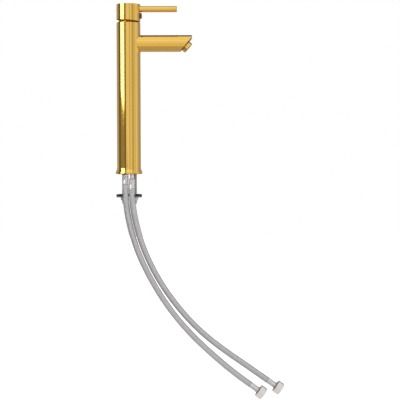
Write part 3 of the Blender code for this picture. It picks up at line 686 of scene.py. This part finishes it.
def makeHose(name):
    points = hoseRoutes[name]
    tube, route, length = makeHoseTube(f"braidedHose_{name}", points)
    coarse = smoothRoute(points, 2)  # the lower fittings lie along the route's last chord
    start, end = coarse[0], coarse[-1]
    out = (end - coarse[-2]).normalized()
    top = start + upward * gap
    upper = makeFerrule(f"upperFerrule_{name}", top, upward, ferrule["length"])
    lower = makeFerrule(f"lowerFerrule_{name}", end + out * gap, out, ferrule["lowerLength"])

    stemLow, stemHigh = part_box(f"hose_stem_{name}")
    thread, tail, hole, neckSize = fitting["thread"], fitting["tail"], fitting["hole"], fitting["neck"]
    shoulder = fitting["shoulder"]
    root = thread - fitting["threadDepth"]
    grooves = []
    for ring in range(fitting["threadTurns"]):
        height = stemHigh.z - 1.2 * mm - fitting["threadPitch"] * ring
        grooves += [(thread, height), (root, height - 0.45 * mm), (thread, height - 0.9 * mm)]
    outline = [(thread - 0.6 * mm, stemHigh.z), (thread, stemHigh.z - 0.6 * mm), *grooves]
    outline += [(thread, shoulder), (tail, shoulder), (tail, stemLow.z)]
    outline += [(hole, stemLow.z), (hole, stemHigh.z)]
    stem = turned(f"hoseStem_{name}", [*outline, outline[0]], 48, (start.x, start.y, 0))
    soften(stem, 0.1 * mm, 2)

    nutStart = 3 * gap + ferrule["length"]
    collarStart = 2 * gap + ferrule["lowerLength"]
    collarEnd = nutStart - gap - hoseSeal["length"] - gap
    flangeStart = nutStart + hoseNut["floor"] + gap
    flange, flangeEnd = fitting["flange"], flangeStart + fitting["flangeThickness"]
    outline = [
        (tail, 2 * gap), (tail, collarStart), (hoseSeal["collar"], collarStart),
        (hoseSeal["collar"], collarEnd), (neckSize, collarEnd), (neckSize, flangeStart),
        (flange, flangeStart), (flange, flangeEnd), (3.6 * mm, flangeEnd), (hole, flangeEnd - 1 * mm),
        (hole, 2 * gap), (tail, 2 * gap),
    ]  # fmt: skip
    insert = soften(turned(f"hoseInsert_{name}", outline, 64, end, out), 0.12 * mm, 2)
    nut = makeHoseNut(f"hoseNut_{name}", end + out * nutStart, out)
    rings = ringOutline(hoseSeal["radius"], neckSize + gap, collarEnd + gap, nutStart - gap)
    seal = soften(turned(f"nutSeal_{name}", rings, 64, end, out), 0.25 * mm, 3)
    washerStart = flangeEnd + gap
    rings = ringOutline(fitting["washer"], tail, washerStart, washerStart + fitting["washerThickness"])
    washer = soften(turned(f"nutWasher_{name}", rings, 64, end, out), 0.35 * mm, 3)

    place(tube, "fixed", "braid", braidFinish, f"hose_{name}")
    place(upper, "fixed", "nickel", ferruleFinish, f"top_ferrule_{name}")
    place(lower, "fixed", "nickel", ferruleFinish, f"end_ferrule_{name}")
    place(stem, "fixed", "nickel", nickelFinish, f"hose_stem_{name}")
    place(insert, "fixed", "nickel", nickelFinish, f"hose_tail_{name}")
    place(seal, "fixed", "rubber", rubberFinish)
    place(nut, f"{name}_nut", "nickel", nickelFinish, f"hose_nut_{name}")
    place(washer, f"{name}_nut", "rubber", rubberFinish, f"nut_washer_{name}")
    route[:: braid["samples"] * 4] + [route[-1]]
    print(f"hose {name}: {length * 1000:.1f} mm")


for hoseName in hoseRoutes:
    makeHose(hoseName)


columnLow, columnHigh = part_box("body_shell")
column = {
    "radius": 23 * mm,
    "bore": 19.5 * mm,
    "top": columnHigh.z,
    "rim": 1 * mm,
    "flareTop": 12.5 * mm,
    "flareBottom": 3 * mm,
    "flare": 3 * mm,
    "flarePower": 1.6,
    "rebateRadius": 25.3 * mm,
    "rebateTop": 2.7 * mm,
}
spout = {
    "radius": 16 * mm,
    "wall": 2.2 * mm,
    "height": column["top"] - 40.25 * mm,
    "reach": 123 * mm,
    "nose": 5.5 * mm,  # upright face above the mitre
    "mitre": 40.7,  # degrees
    "aeratorDrop": 19.3 * mm,
    "socket": 9.9 * mm,
    "socketDepth": 4.4 * mm,
}


def makeColumn():
    radius, top, rim = column["radius"], column["top"], column["rim"]
    outline = [(column["bore"], top), (radius - rim, top), (radius, top - rim)]
    for step in range(13):
        down = step / 12
        height = column["flareTop"] + (column["flareBottom"] - column["flareTop"]) * down
        outline.append((radius + column["flare"] * down ** column["flarePower"], height))
    foot = radius + column["flare"]
    outline += [(foot, columnLow.z), (column["rebateRadius"], columnLow.z)]
    outline += [(column["rebateRadius"], column["rebateTop"]), (column["bore"], column["rebateTop"])]
    shell = turned("columnShell", [*outline, outline[0]], sides=192)
    mouth = spout["radius"] + gap
    loops(shell, [(0, 0, spout["height"] + step) for step in (-mouth - mm, 0, mouth + mm)], upward)
    cut(shell, lyingRod("mouth", mouth, spout["height"], 0, 3 * radius, 128))
    soften(shell, 0.25 * mm, 3, angle=28)
    place(shell, "fixed", "gold", goldFinish, "body_shell")


def mitreFrame():
    angle = math.radians(spout["mitre"])
    top = Vector((spout["reach"], 0, spout["height"] + spout["radius"] - spout["nose"]))
    down = Vector((-math.sin(angle), 0, -math.cos(angle)))
    return top, down, Vector((math.cos(angle), 0, -math.sin(angle)))


def makeSpout():
    top, down, out = mitreFrame()
    radius, wall, height, reach = spout["radius"], spout["wall"], spout["height"], spout["reach"]
    tube = lyingRod("spoutTube", radius, height, 5 * mm, reach, 128)
    sliceOff(tube, top, out)
    hollow = lyingRod("hollow", radius - wall, height, 0, reach - wall, 64)
    sliceOff(hollow, top - out * wall, out)
    seat = top + down * spout["aeratorDrop"]
    socket = turned("socket", rodOutline(spout["socket"], -spout["socketDepth"], 30 * mm), 64, seat, out)
    saddle = turned("saddle", rodOutline(column["bore"] + gap, 0.2, 0.3), 128)
    cut(tube, hollow, saddle, socket)
    soften(tube, 0.55 * mm, 4, angle=25)
    place(tube, "fixed", "gold", goldFinish, "spout_tube")
    return seat, out


aerator = {
    "radius": 11 * mm,
    "wall": 1.6 * mm,
    "proud": 8 * mm,
    "thread": 9.6 * mm,
    "threadLength": 3.5 * mm,  # inside the spout
    "shoulder": 1.6 * mm,  # over the spout's face
    "strainer": 2 * mm,
    "washer": 1 * mm,
    "strainerHole": 1.5 * mm,
    "rings": ((0, 1), (5.4 * mm, 6)),  # of holes: radius and count
}


def makeAerator(seat, out):
    radius, wall, proud = aerator["radius"], aerator["wall"], aerator["proud"]
    low, thread, start = aerator["shoulder"], aerator["thread"], -aerator["threadLength"]
    inner = thread - wall
    outline = [
        (radius, low), (radius, proud), (radius - wall, proud), (radius - wall, low + wall),
        (inner, low + wall), (inner, start), (thread, start), (thread, low), (radius, low),
    ]  # fmt: skip
    housing = turned("aeratorHousing", outline, 96)
    soften(housing, 0.4 * mm, 3)
    moveTo(housing, seat, out)
    place(housing, "fixed", "gold", goldFinish, "aerator_housing")

    bottom = low + wall + gap
    disc = rodOutline(radius - wall - gap, bottom, bottom + aerator["strainer"])
    face = turned("aeratorStrainer", disc, 96)
    for ringRadius, count in aerator["rings"]:
        for number in range(count):
            turn = math.tau * number / count
            spot = (ringRadius * math.cos(turn), ringRadius * math.sin(turn), 0)
            cut(face, turned("hole", rodOutline(aerator["strainerHole"], 0, 20 * mm), 24, spot))
    soften(face, 0.2 * mm, 2)
    moveTo(face, seat, out)
    place(face, "fixed", "strainer_plastic", strainerFinish, "aerator_insert")

    rings = ringOutline(radius - 0.6 * mm, thread + gap, gap, gap + aerator["washer"])
    washer = soften(turned("aeratorWasher", rings, 96, seat, out), 0.2 * mm, 3)
    place(washer, "fixed", "rubber", rubberFinish, "aerator_washer")


makeColumn()
makeAerator(*makeSpout())
print("column, spout and aerator made")


handle = {
    "radius": 23 * mm,
    "top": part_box("handle_cap")[1].z,
    "frontEdge": column["top"] + 1.8 * mm,
    "backEdge": column["top"] + 5.8 * mm,
    "pivot": column["top"] - 14.2 * mm,
    "tiltSlack": 0.7 * mm,
    "skirt": 2.1 * mm,
    "leverRadius": 5.75 * mm,
    "leverDepth": 9 * mm,
    "leverReach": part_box("lever_rod")[1].x,
    "leverBack": 10 * mm,  # from the column's axis, as the depths below
    "socketFloor": 9.7 * mm,
    "plugRadius": 5.5 * mm,
    "plugCrown": 1.3 * mm,
    "plugBack": 20.4 * mm,
    "recessFloor": 20.1 * mm,
    "stemBore": 3.8 * mm,
    "grubRadius": 2.3 * mm,
    "grubRise": 1.5 * mm,  # over the plug's middle
    "bevel": 0.7 * mm,  # of the lever's tip; on the cap it has no effect
}
neck = {"step": 2.6 * mm, "wall": 1.2 * mm, "opening": 12.3 * mm, "spigotWall": 1 * mm, "spigot": 1.2 * mm}
neckRadius = math.hypot(column["radius"] - neck["step"], column["top"] + gap - handle["pivot"])


def makeNeck():
    centre = (0, handle["pivot"])
    bottom = column["top"] + gap
    low = math.degrees(math.acos((column["radius"] - neck["step"]) / neckRadius))
    high = math.degrees(math.acos(neck["opening"] / neckRadius))
    outer = arcPoints(centre, neckRadius, high, low, 20)
    spigot = column["bore"] - gap
    inside = neckRadius - neck["wall"]
    innerLow = math.degrees(math.acos((spigot - neck["spigotWall"]) / inside))
    inner = arcPoints(centre, inside, innerLow, high, 12)
    foot = [(spigot, bottom), (spigot, bottom - neck["spigot"])]
    foot.append((spigot - neck["spigotWall"], bottom - neck["spigot"]))
    dome = turned("neckDome", [*outer, *foot, *inner, outer[0]], 160)
    soften(dome, 0.2 * mm, 3)
    # the darker gold copy is painted shade
    place(dome, "fixed", "gold", neckShadeFinish, "dome_cover")


def makeHandle():
    radius, top, pivot, bevel = handle["radius"], handle["top"], handle["pivot"], handle["bevel"]
    far = 2 * radius
    cap = turned("handleCap", rodOutline(radius, pivot, top), 192)
    slant = Vector((handle["frontEdge"] - handle["backEdge"], 0, -2 * radius))
    sliceOff(cap, (0, 0, (handle["frontEdge"] + handle["backEdge"]) / 2), slant.normalized())

    deselect()
    cavity = neckRadius + handle["tiltSlack"]
    bpy.ops.mesh.primitive_uv_sphere_add(segments=96, ring_count=48, radius=cavity, location=(0, 0, pivot))
    domeSpace = settle("domeSpace")
    skirtTop = handle["backEdge"] + 4 * mm
    skirt = turned("skirtSpace", rodOutline(radius - handle["skirt"], pivot, skirtTop), 128)
    sliceOff(skirt, (0, 0, 0), ahead)
    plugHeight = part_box("index_plug")[0].z + handle["plugRadius"]
    leverHeight = top - handle["leverDepth"]
    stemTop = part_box("stem")[1].z
    grubHeight = plugHeight + handle["grubRise"]
    socket = lyingRod("socket", handle["leverRadius"] + gap, leverHeight, handle["socketFloor"], far)
    recess = lyingRod("recess", handle["plugRadius"] + gap, plugHeight, handle["recessFloor"], far)
    stemBore = turned("stemBore", rodOutline(handle["stemBore"], pivot, stemTop + gap), 48)
    grub = lyingRod("grubHole", handle["grubRadius"], grubHeight, 0, handle["plugBack"], 32)
    cut(cap, domeSpace, skirt, stemBore, socket, recess, grub)
    soften(cap, bevel, 4, angle=28)
    place(cap, "handle", "gold", goldFinish, "handle_cap")

    reach, thin, back = handle["leverReach"], handle["leverRadius"], handle["leverBack"]
    line = [(0, back), (thin, back), (thin, reach - bevel)]
    line += arcPoints((thin - bevel, reach - bevel), bevel, 0, 90, 5)[1:]
    line += [(thin - 1.5 * mm, reach), (thin - 1.75 * mm, reach - 0.2 * mm), (0, reach - 0.2 * mm)]
    lever = turned("leverRod", line, 96, (0, 0, leverHeight), ahead)
    hold(lever)
    bpy.ops.object.shade_smooth_by_angle(angle=math.radians(35))
    place(lever, "handle", "gold", goldFinish, "lever_rod")

    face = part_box("index_plug")[1].x
    plugRadius, crown, back = handle["plugRadius"], handle["plugCrown"], handle["plugBack"]
    edge = face - 1.6 * mm
    line = [(0, back), (plugRadius, back), (plugRadius, edge)]
    line += arcPoints((plugRadius - crown, edge), crown, 0, 70, 5)[1:]
    line += [(plugRadius * 0.5, face - 0.1 * mm), (0, face)]
    plug = turned("indexPlug", line, 64, (0, 0, plugHeight), ahead)
    hold(plug)
    bpy.ops.object.shade_smooth_by_angle(angle=math.radians(40))
    place(plug, "handle", "index_plastic", indexFinish, "index_plug")


makeNeck()
makeHandle()
print("neck and handle made")


fixings = {
    "studRadius": 3 * mm,
    "threadDepth": 0.55 * mm,
    "threadPitch": 1 * mm,
    "taper": 0.9 * mm,  # of the studs' ends
    "nutAcross": 10 * mm,
    "nutChamfer": 0.5 * mm,
    "nutLeadIn": 0.7 * mm,
    "washerRadius": 6 * mm,
    "hole": 3.3 * mm,
    "gasketOuter": 25 * mm,
    "gasketInner": 19 * mm,
}


def makeBaseGasket():
    low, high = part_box("ring_gasket")
    outline = ringOutline(fixings["gasketOuter"], fixings["gasketInner"], low.z, high.z)
    gasket = soften(turned("baseGasket", outline, 160), 0.45 * mm, 4)
    place(gasket, "fixed", "rubber", rubberFinish, "ring_gasket")


def makeStud(name, node):
    # one turn of the thread's profile, wound up the stud, and cut off at both ends
    low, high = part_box(node)
    radius, depth, pitch = fixings["studRadius"], fixings["threadDepth"], fixings["threadPitch"]
    start = low.z - 2 * pitch
    points = [(radius - depth, 0), (radius - 0.08 * mm, 0.4 * pitch), (radius, 0.48 * pitch)]
    points += [(radius - 0.08 * mm, 0.56 * pitch), (radius - depth, 0.96 * pitch), (radius - depth, pitch)]
    stud = drawLine(name, [(x, z + start) for x, z in points])
    bpy.ops.object.mode_set(mode="OBJECT")
    bpy.ops.object.modifier_add(type="SCREW")
    screw = stud.modifiers[-1]
    screw.angle = math.tau
    screw.screw_offset = pitch
    screw.iterations = round((high.z - low.z) / pitch) + 4
    screw.steps = screw.render_steps = 24
    screw.use_merge_vertices = True
    screw.merge_threshold = mm / 1000
    bpy.ops.object.modifier_apply(modifier=screw.name)
    sliceOff(stud, (0, 0, low.z), -upward)
    sliceOff(stud, (0, 0, high.z), upward)
    openUp(stud)
    closeUp()
    taper = fixings["taper"]
    ends = [(0, high.z + mm), (radius - taper - mm, high.z + mm), (radius + mm, high.z - taper - mm)]
    ends += [(radius + mm, low.z + taper + mm), (radius - taper - mm, low.z - mm), (0, low.z - mm)]
    cut(stud, turned("ends", ends, 48), how="INTERSECT")
    hold(stud)
    bpy.ops.object.shade_smooth_by_angle(angle=math.radians(32))
    return stud


def makeStudNut(name, node):
    low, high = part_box(node)
    nut = hexBlank(name, fixings["nutAcross"], low.z, high.z, fixings["nutChamfer"])
    hole, leadIn = fixings["hole"], fixings["nutLeadIn"]
    wide = hole + leadIn
    thread = threadOutline(hole, -0.3 * mm, low.z, high.z, fixings["threadPitch"])
    mouth = [(0, high.z + mm), (wide, high.z + mm), (wide, high.z), (hole, high.z - leadIn)]
    back = [(hole, low.z + leadIn), (wide, low.z), (wide, low.z - mm), (0, low.z - mm)]
    cut(nut, turned("tapping", [*mouth, *thread[2:-2], *back], 48))
    return soften(nut, 0.15 * mm, 2, angle=25)


def makeWasher(name, node):
    low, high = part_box(node)
    outline = ringOutline(fixings["washerRadius"], fixings["hole"], low.z, high.z)
    return soften(turned(name, outline, 64), 0.15 * mm, 2)


def makeStuds():
    spots = {}
    for side in ("left", "right"):
        low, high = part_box(f"stud_{side}")
        spots[side] = Vector(((low.x + high.x) / 2, (low.y + high.y) / 2, 0))
    kinds = [
        (makeStud("threadedStud_left", "stud_left"), "threadedStud", "stud", "fixed", "fixed"),
        (makeStudNut("studNut_left", "stud_nut_left"), "studNut", "stud_nut", "nut_left", "nut_right"),
        (makeWasher("studWasher_left", "stud_washer_left"), "studWasher", "stud_washer", "clamp", "clamp"),
    ]
    for piece, kind, node, leftBody, rightBody in kinds:
        twin = copyTo(piece, f"{kind}_right", spots["right"])
        moveTo(piece, spots["left"], upward)
        place(piece, leftBody, "zinc_steel", zincFinish, f"{node}_left")
        place(twin, rightBody, "zinc_steel", zincFinish, f"{node}_right")


horseshoe = {
    "radius": 25 * mm,
    "mouth": 16.7 * mm,  # half of its width
    "arm": 10.2 * mm,  # from the middle to the rounded tips' centres
    "tip": 3.15 * mm,
    "windowLength": 11 * mm,
    "windowWidth": 7.8 * mm,
    "windowPlace": (11.7 * mm, 6.8 * mm),
    "windowCorner": 3 * mm,
    "innerCorner": 2.2 * mm,  # where a window's bar meets the mouth
    "notch": 3.2 * mm,
    "notchEnd": 18.7 * mm,
    "middle": 1.7 * mm,
}


def horseshoeOutlines():  # the edge and the two windows; the mouth opens towards -Y
    size = horseshoe
    tip = size["mouth"] + size["tip"]
    tipAngle = math.degrees(math.atan2(size["arm"], tip))
    innerCorner = size["innerCorner"]
    half = arcPoints((size["notch"] + innerCorner, innerCorner), innerCorner, 180, 270, 6)
    half += arcPoints((size["mouth"] - innerCorner, -innerCorner), innerCorner, 90, 0, 6)
    half += arcPoints((tip, -size["arm"]), size["tip"], 180, 360 - tipAngle, 16)
    half += arcPoints((0, 0), size["radius"], 3 - tipAngle, 90, 40)
    notch = arcPoints((0, size["notchEnd"] - size["notch"]), size["notch"], 180, 0, 14)
    edge = half + [(-x, y) for x, y in half[::-1]][1:] + notch
    windows = []
    for sign in (-1, 1):
        window = []
        for corner, (across, along) in enumerate(((1, 1), (-1, 1), (-1, -1), (1, -1))):
            x = sign * size["windowPlace"][0] + across * (size["windowLength"] / 2 - size["windowCorner"])
            y = size["windowPlace"][1] + along * (size["windowWidth"] / 2 - size["windowCorner"])
            window += arcPoints((x, y), size["windowCorner"], 90 * corner, 90 * corner + 90, 8)
        windows.append(window)
    return [edge, *windows]


def makeHorseshoe(name, node, bevel):
    low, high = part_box(node)
    outline = bpy.data.curves.new(name, "CURVE")
    outline.dimensions = "2D"
    outline.fill_mode = "BOTH"
    outline.extrude = (high.z - low.z) / 2
    for points in horseshoeOutlines():
        spline = outline.splines.new("POLY")
        spline.use_cyclic_u = True
        spline.points.add(len(points) - 1)
        for spot, (x, y) in zip(spline.points, points):
            spot.co = (x, y, 0, 1)
    plate = bpy.data.objects.new(name, outline)
    plate.location = (0, horseshoe["middle"], (low.z + high.z) / 2)
    bpy.context.scene.collection.objects.link(plate)
    hold(plate)
    bpy.ops.object.convert(target="MESH")
    plate = settle(name)
    openUp(plate)
    closeUp()
    return soften(plate, bevel, 3)


makeBaseGasket()
makeStuds()
clampGasket = makeHorseshoe("clampGasket", "clamp_gasket", 0.4 * mm)
clampPlate = makeHorseshoe("clampPlate", "clamp_plate", 0.25 * mm)
place(clampGasket, "clamp", "rubber", rubberFinish, "clamp_gasket")
place(clampPlate, "clamp", "plate_steel", plateFinish, "clamp_plate")
print("gasket, studs and clamp made")


insideFinishes = [
    (brassFinish, ["cartridge_seat", "base_block", "retaining_nut"]),
    (copperFinish, ["riser_hot", "riser_cold"]),
    (cartridgeFinish, ["cartridge_base", "cartridge_housing", "rotor", "disc_carrier"]),
    (ceramicFinish, ["fixed_disc", "moving_disc"]),
    (rubberFinish, ["seal_hot", "seal_cold", "seal_outlet"]),
    (stemFinish, ["pivot_pin", "stem"]),
    (zincFinish, ["grub_screw"]),
]
for finish, nodeNames in insideFinishes:
    for nodeName in nodeNames:
        nodes[nodeName].data.materials.clear()
        nodes[nodeName].data.materials.append(finish)
print("inside finished")


room = {
    "floor": -0.8,
    "floorGlow": 0.9,
    "screenTint": (1, 0.93, 0.86, 1),
    "floorSize": 14.0,
    "surround": 0.64,  # what the metal sees where no light or screen stands
}
# azimuth and width in degrees, distance, lower and upper edge in metres, brightness; softboxes also a slant
softboxes = {
    "key": (-61, 35, 1.1, 0.207, 1.5, 3.8, -4),
    "front": (-8, 26, 1.9, 0.09, 1.6, 0.22, -8),
    "line": (21, 8, 1.9, -1.0, 1.6, 0.28, 0),
    "sideLine": (54, 7, 1.5, -1.0, 1.5, 0.14, 0),
    "right": (78, 20, 1.2, -0.6, 1.3, 0.20, 0),
}
screens = {
    "slit": (-35, 12, 0.95, -0.5, 1.3, 0.12),
    "slot": (42, 9, 0.95, -0.5, 1.3, 0.46),
    "leftLow": (-61, 42, 1.0, -0.9, 0.187, 0.30),
    "leftBack": (-96, 34, 1.3, -0.9, 1.2, 0.16),
    "leftFar": (-137, 46, 1.4, -0.9, 1.2, 0.46),
    "rightBack": (128, 40, 1.4, -0.9, 1.2, 0.42),
    "back": (180, 60, 1.6, -0.9, 1.3, 0.14),
}
overhead = {"height": 1.7, "width": 3.2, "near": -0.2, "far": 2.6, "brightness": 0.32}  # towards the camera
canopy = {"height": 1.5, "width": 5.0, "near": 0.5, "far": 3.0, "brightness": 0.10}  # dark, behind and above
# over the floor, so that it shines up less: height, width and brightness
aprons = {"nearApron": (-0.77, 2.2, 0.50), "farApron": (-0.785, 13.8, 0.78)}


def directionAt(azimuth):  # 0 is towards the camera, and the picture's right is positive
    turn = math.radians(azimuth + cameraPlace["azimuth"])
    return Vector((math.sin(turn), -math.cos(turn), 0))


def breadthOf(width, distance):
    return 2 * distance * math.tan(math.radians(width / 2))


def addPanel(name, spot, turn, width, height, brightness):
    bpy.ops.object.light_add(type="AREA", location=spot, rotation=turn)
    light = bpy.context.object
    light.name = name
    light.visible_camera = False
    light.data.shape = "RECTANGLE"
    light.data.size = width
    light.data.size_y = height
    light.data.energy = brightness * math.pi * width * height
    return light


def makeSoftbox(name, azimuth, width, distance, low, high, brightness, slant):
    out = directionAt(azimuth)
    spot = out * distance + upward * (low + high) / 2
    turn = (-out).to_track_quat("-Z", "Y").to_euler()
    light = addPanel(name, spot, turn, breadthOf(width, distance), high - low, brightness)
    light.rotation_euler.rotate_axis("Z", math.radians(slant))


def makeOverhead():
    near, far = overhead["near"], overhead["far"]
    middle = directionAt(0) * (near + far) / 2 + upward * overhead["height"]
    turn = (0, 0, math.radians(cameraPlace["azimuth"]))
    addPanel("overhead", middle, turn, overhead["width"], far - near, overhead["brightness"])


def makeScreen(name, spot, direction, size, brightness, flag=True):  # dark cloth, itself out of sight
    deselect()
    turn = direction.to_track_quat("Z", "Y").to_euler()
    bpy.ops.mesh.primitive_plane_add(size=1, location=spot, rotation=turn)
    screen = bpy.context.object
    screen.name = name
    screen.scale = (*size, 1)
    cloth = bpy.data.materials.new(name)
    cloth.use_nodes = True
    shader = cloth.node_tree.nodes["Principled BSDF"]
    shader.inputs["Base Color"].default_value = (0, 0, 0, 1)
    shader.inputs["Specular IOR Level"].default_value = 0.0
    shader.inputs["Emission Color"].default_value = room["screenTint"]
    shader.inputs["Emission Strength"].default_value = brightness
    screen.data.materials.append(cloth)
    screen.visible_camera = False
    screen.visible_shadow = False
    screen.visible_diffuse = flag


def makeScreens():
    for name, (azimuth, width, distance, low, high, brightness) in screens.items():
        out = directionAt(azimuth)
        spot = out * distance + upward * (low + high) / 2
        makeScreen(name, spot, out, (breadthOf(width, distance), high - low), brightness)
    near, far = canopy["near"], canopy["far"]
    middle = directionAt(180) * (near + far) / 2 + upward * canopy["height"]
    makeScreen("canopy", middle, upward, (canopy["width"], far - near), canopy["brightness"])
    for name, (height, width, brightness) in aprons.items():
        makeScreen(name, upward * height, upward, (width, width), brightness, False)


def makeFloor():
    deselect()
    size = room["floorSize"]
    bpy.ops.mesh.primitive_plane_add(size=size, location=(0, 0, room["floor"]))
    floor = bpy.context.object
    floor.name = "floor"
    glow = {"Emission_Color": (1, 1, 1, 1), "Emission_Strength": room["floorGlow"]}
    finish = Finish("paleFloor", Roughness=0.8, **glow)
    finish.paint(Base_Color=finish.blend(finish.noise(3), (0.93, 0.93, 0.93), (0.90, 0.90, 0.90)))
    floor.data.materials.append(finish.material)


def makeSky():
    world = bpy.data.worlds.new("studio")
    bpy.context.scene.world = world
    world.use_nodes = True
    tree = world.node_tree
    sky = tree.nodes["Background"]
    path = tree.nodes.new("ShaderNodeLightPath")
    mix = tree.nodes.new("ShaderNodeMix")
    mix.inputs["A"].default_value = room["surround"]
    mix.inputs["B"].default_value = 1.0
    tree.links.new(path.outputs["Is Camera Ray"], mix.inputs["Factor"])
    tree.links.new(mix.outputs["Result"], sky.inputs["Strength"])
    sky.inputs["Color"].default_value = (1, 1, 1, 1)


makeSky()
makeFloor()
for lightName, numbers in softboxes.items():
    makeSoftbox(lightName, *numbers)
makeOverhead()
makeScreens()
bpy.context.scene.view_settings.view_transform = "Standard"
print("room made")
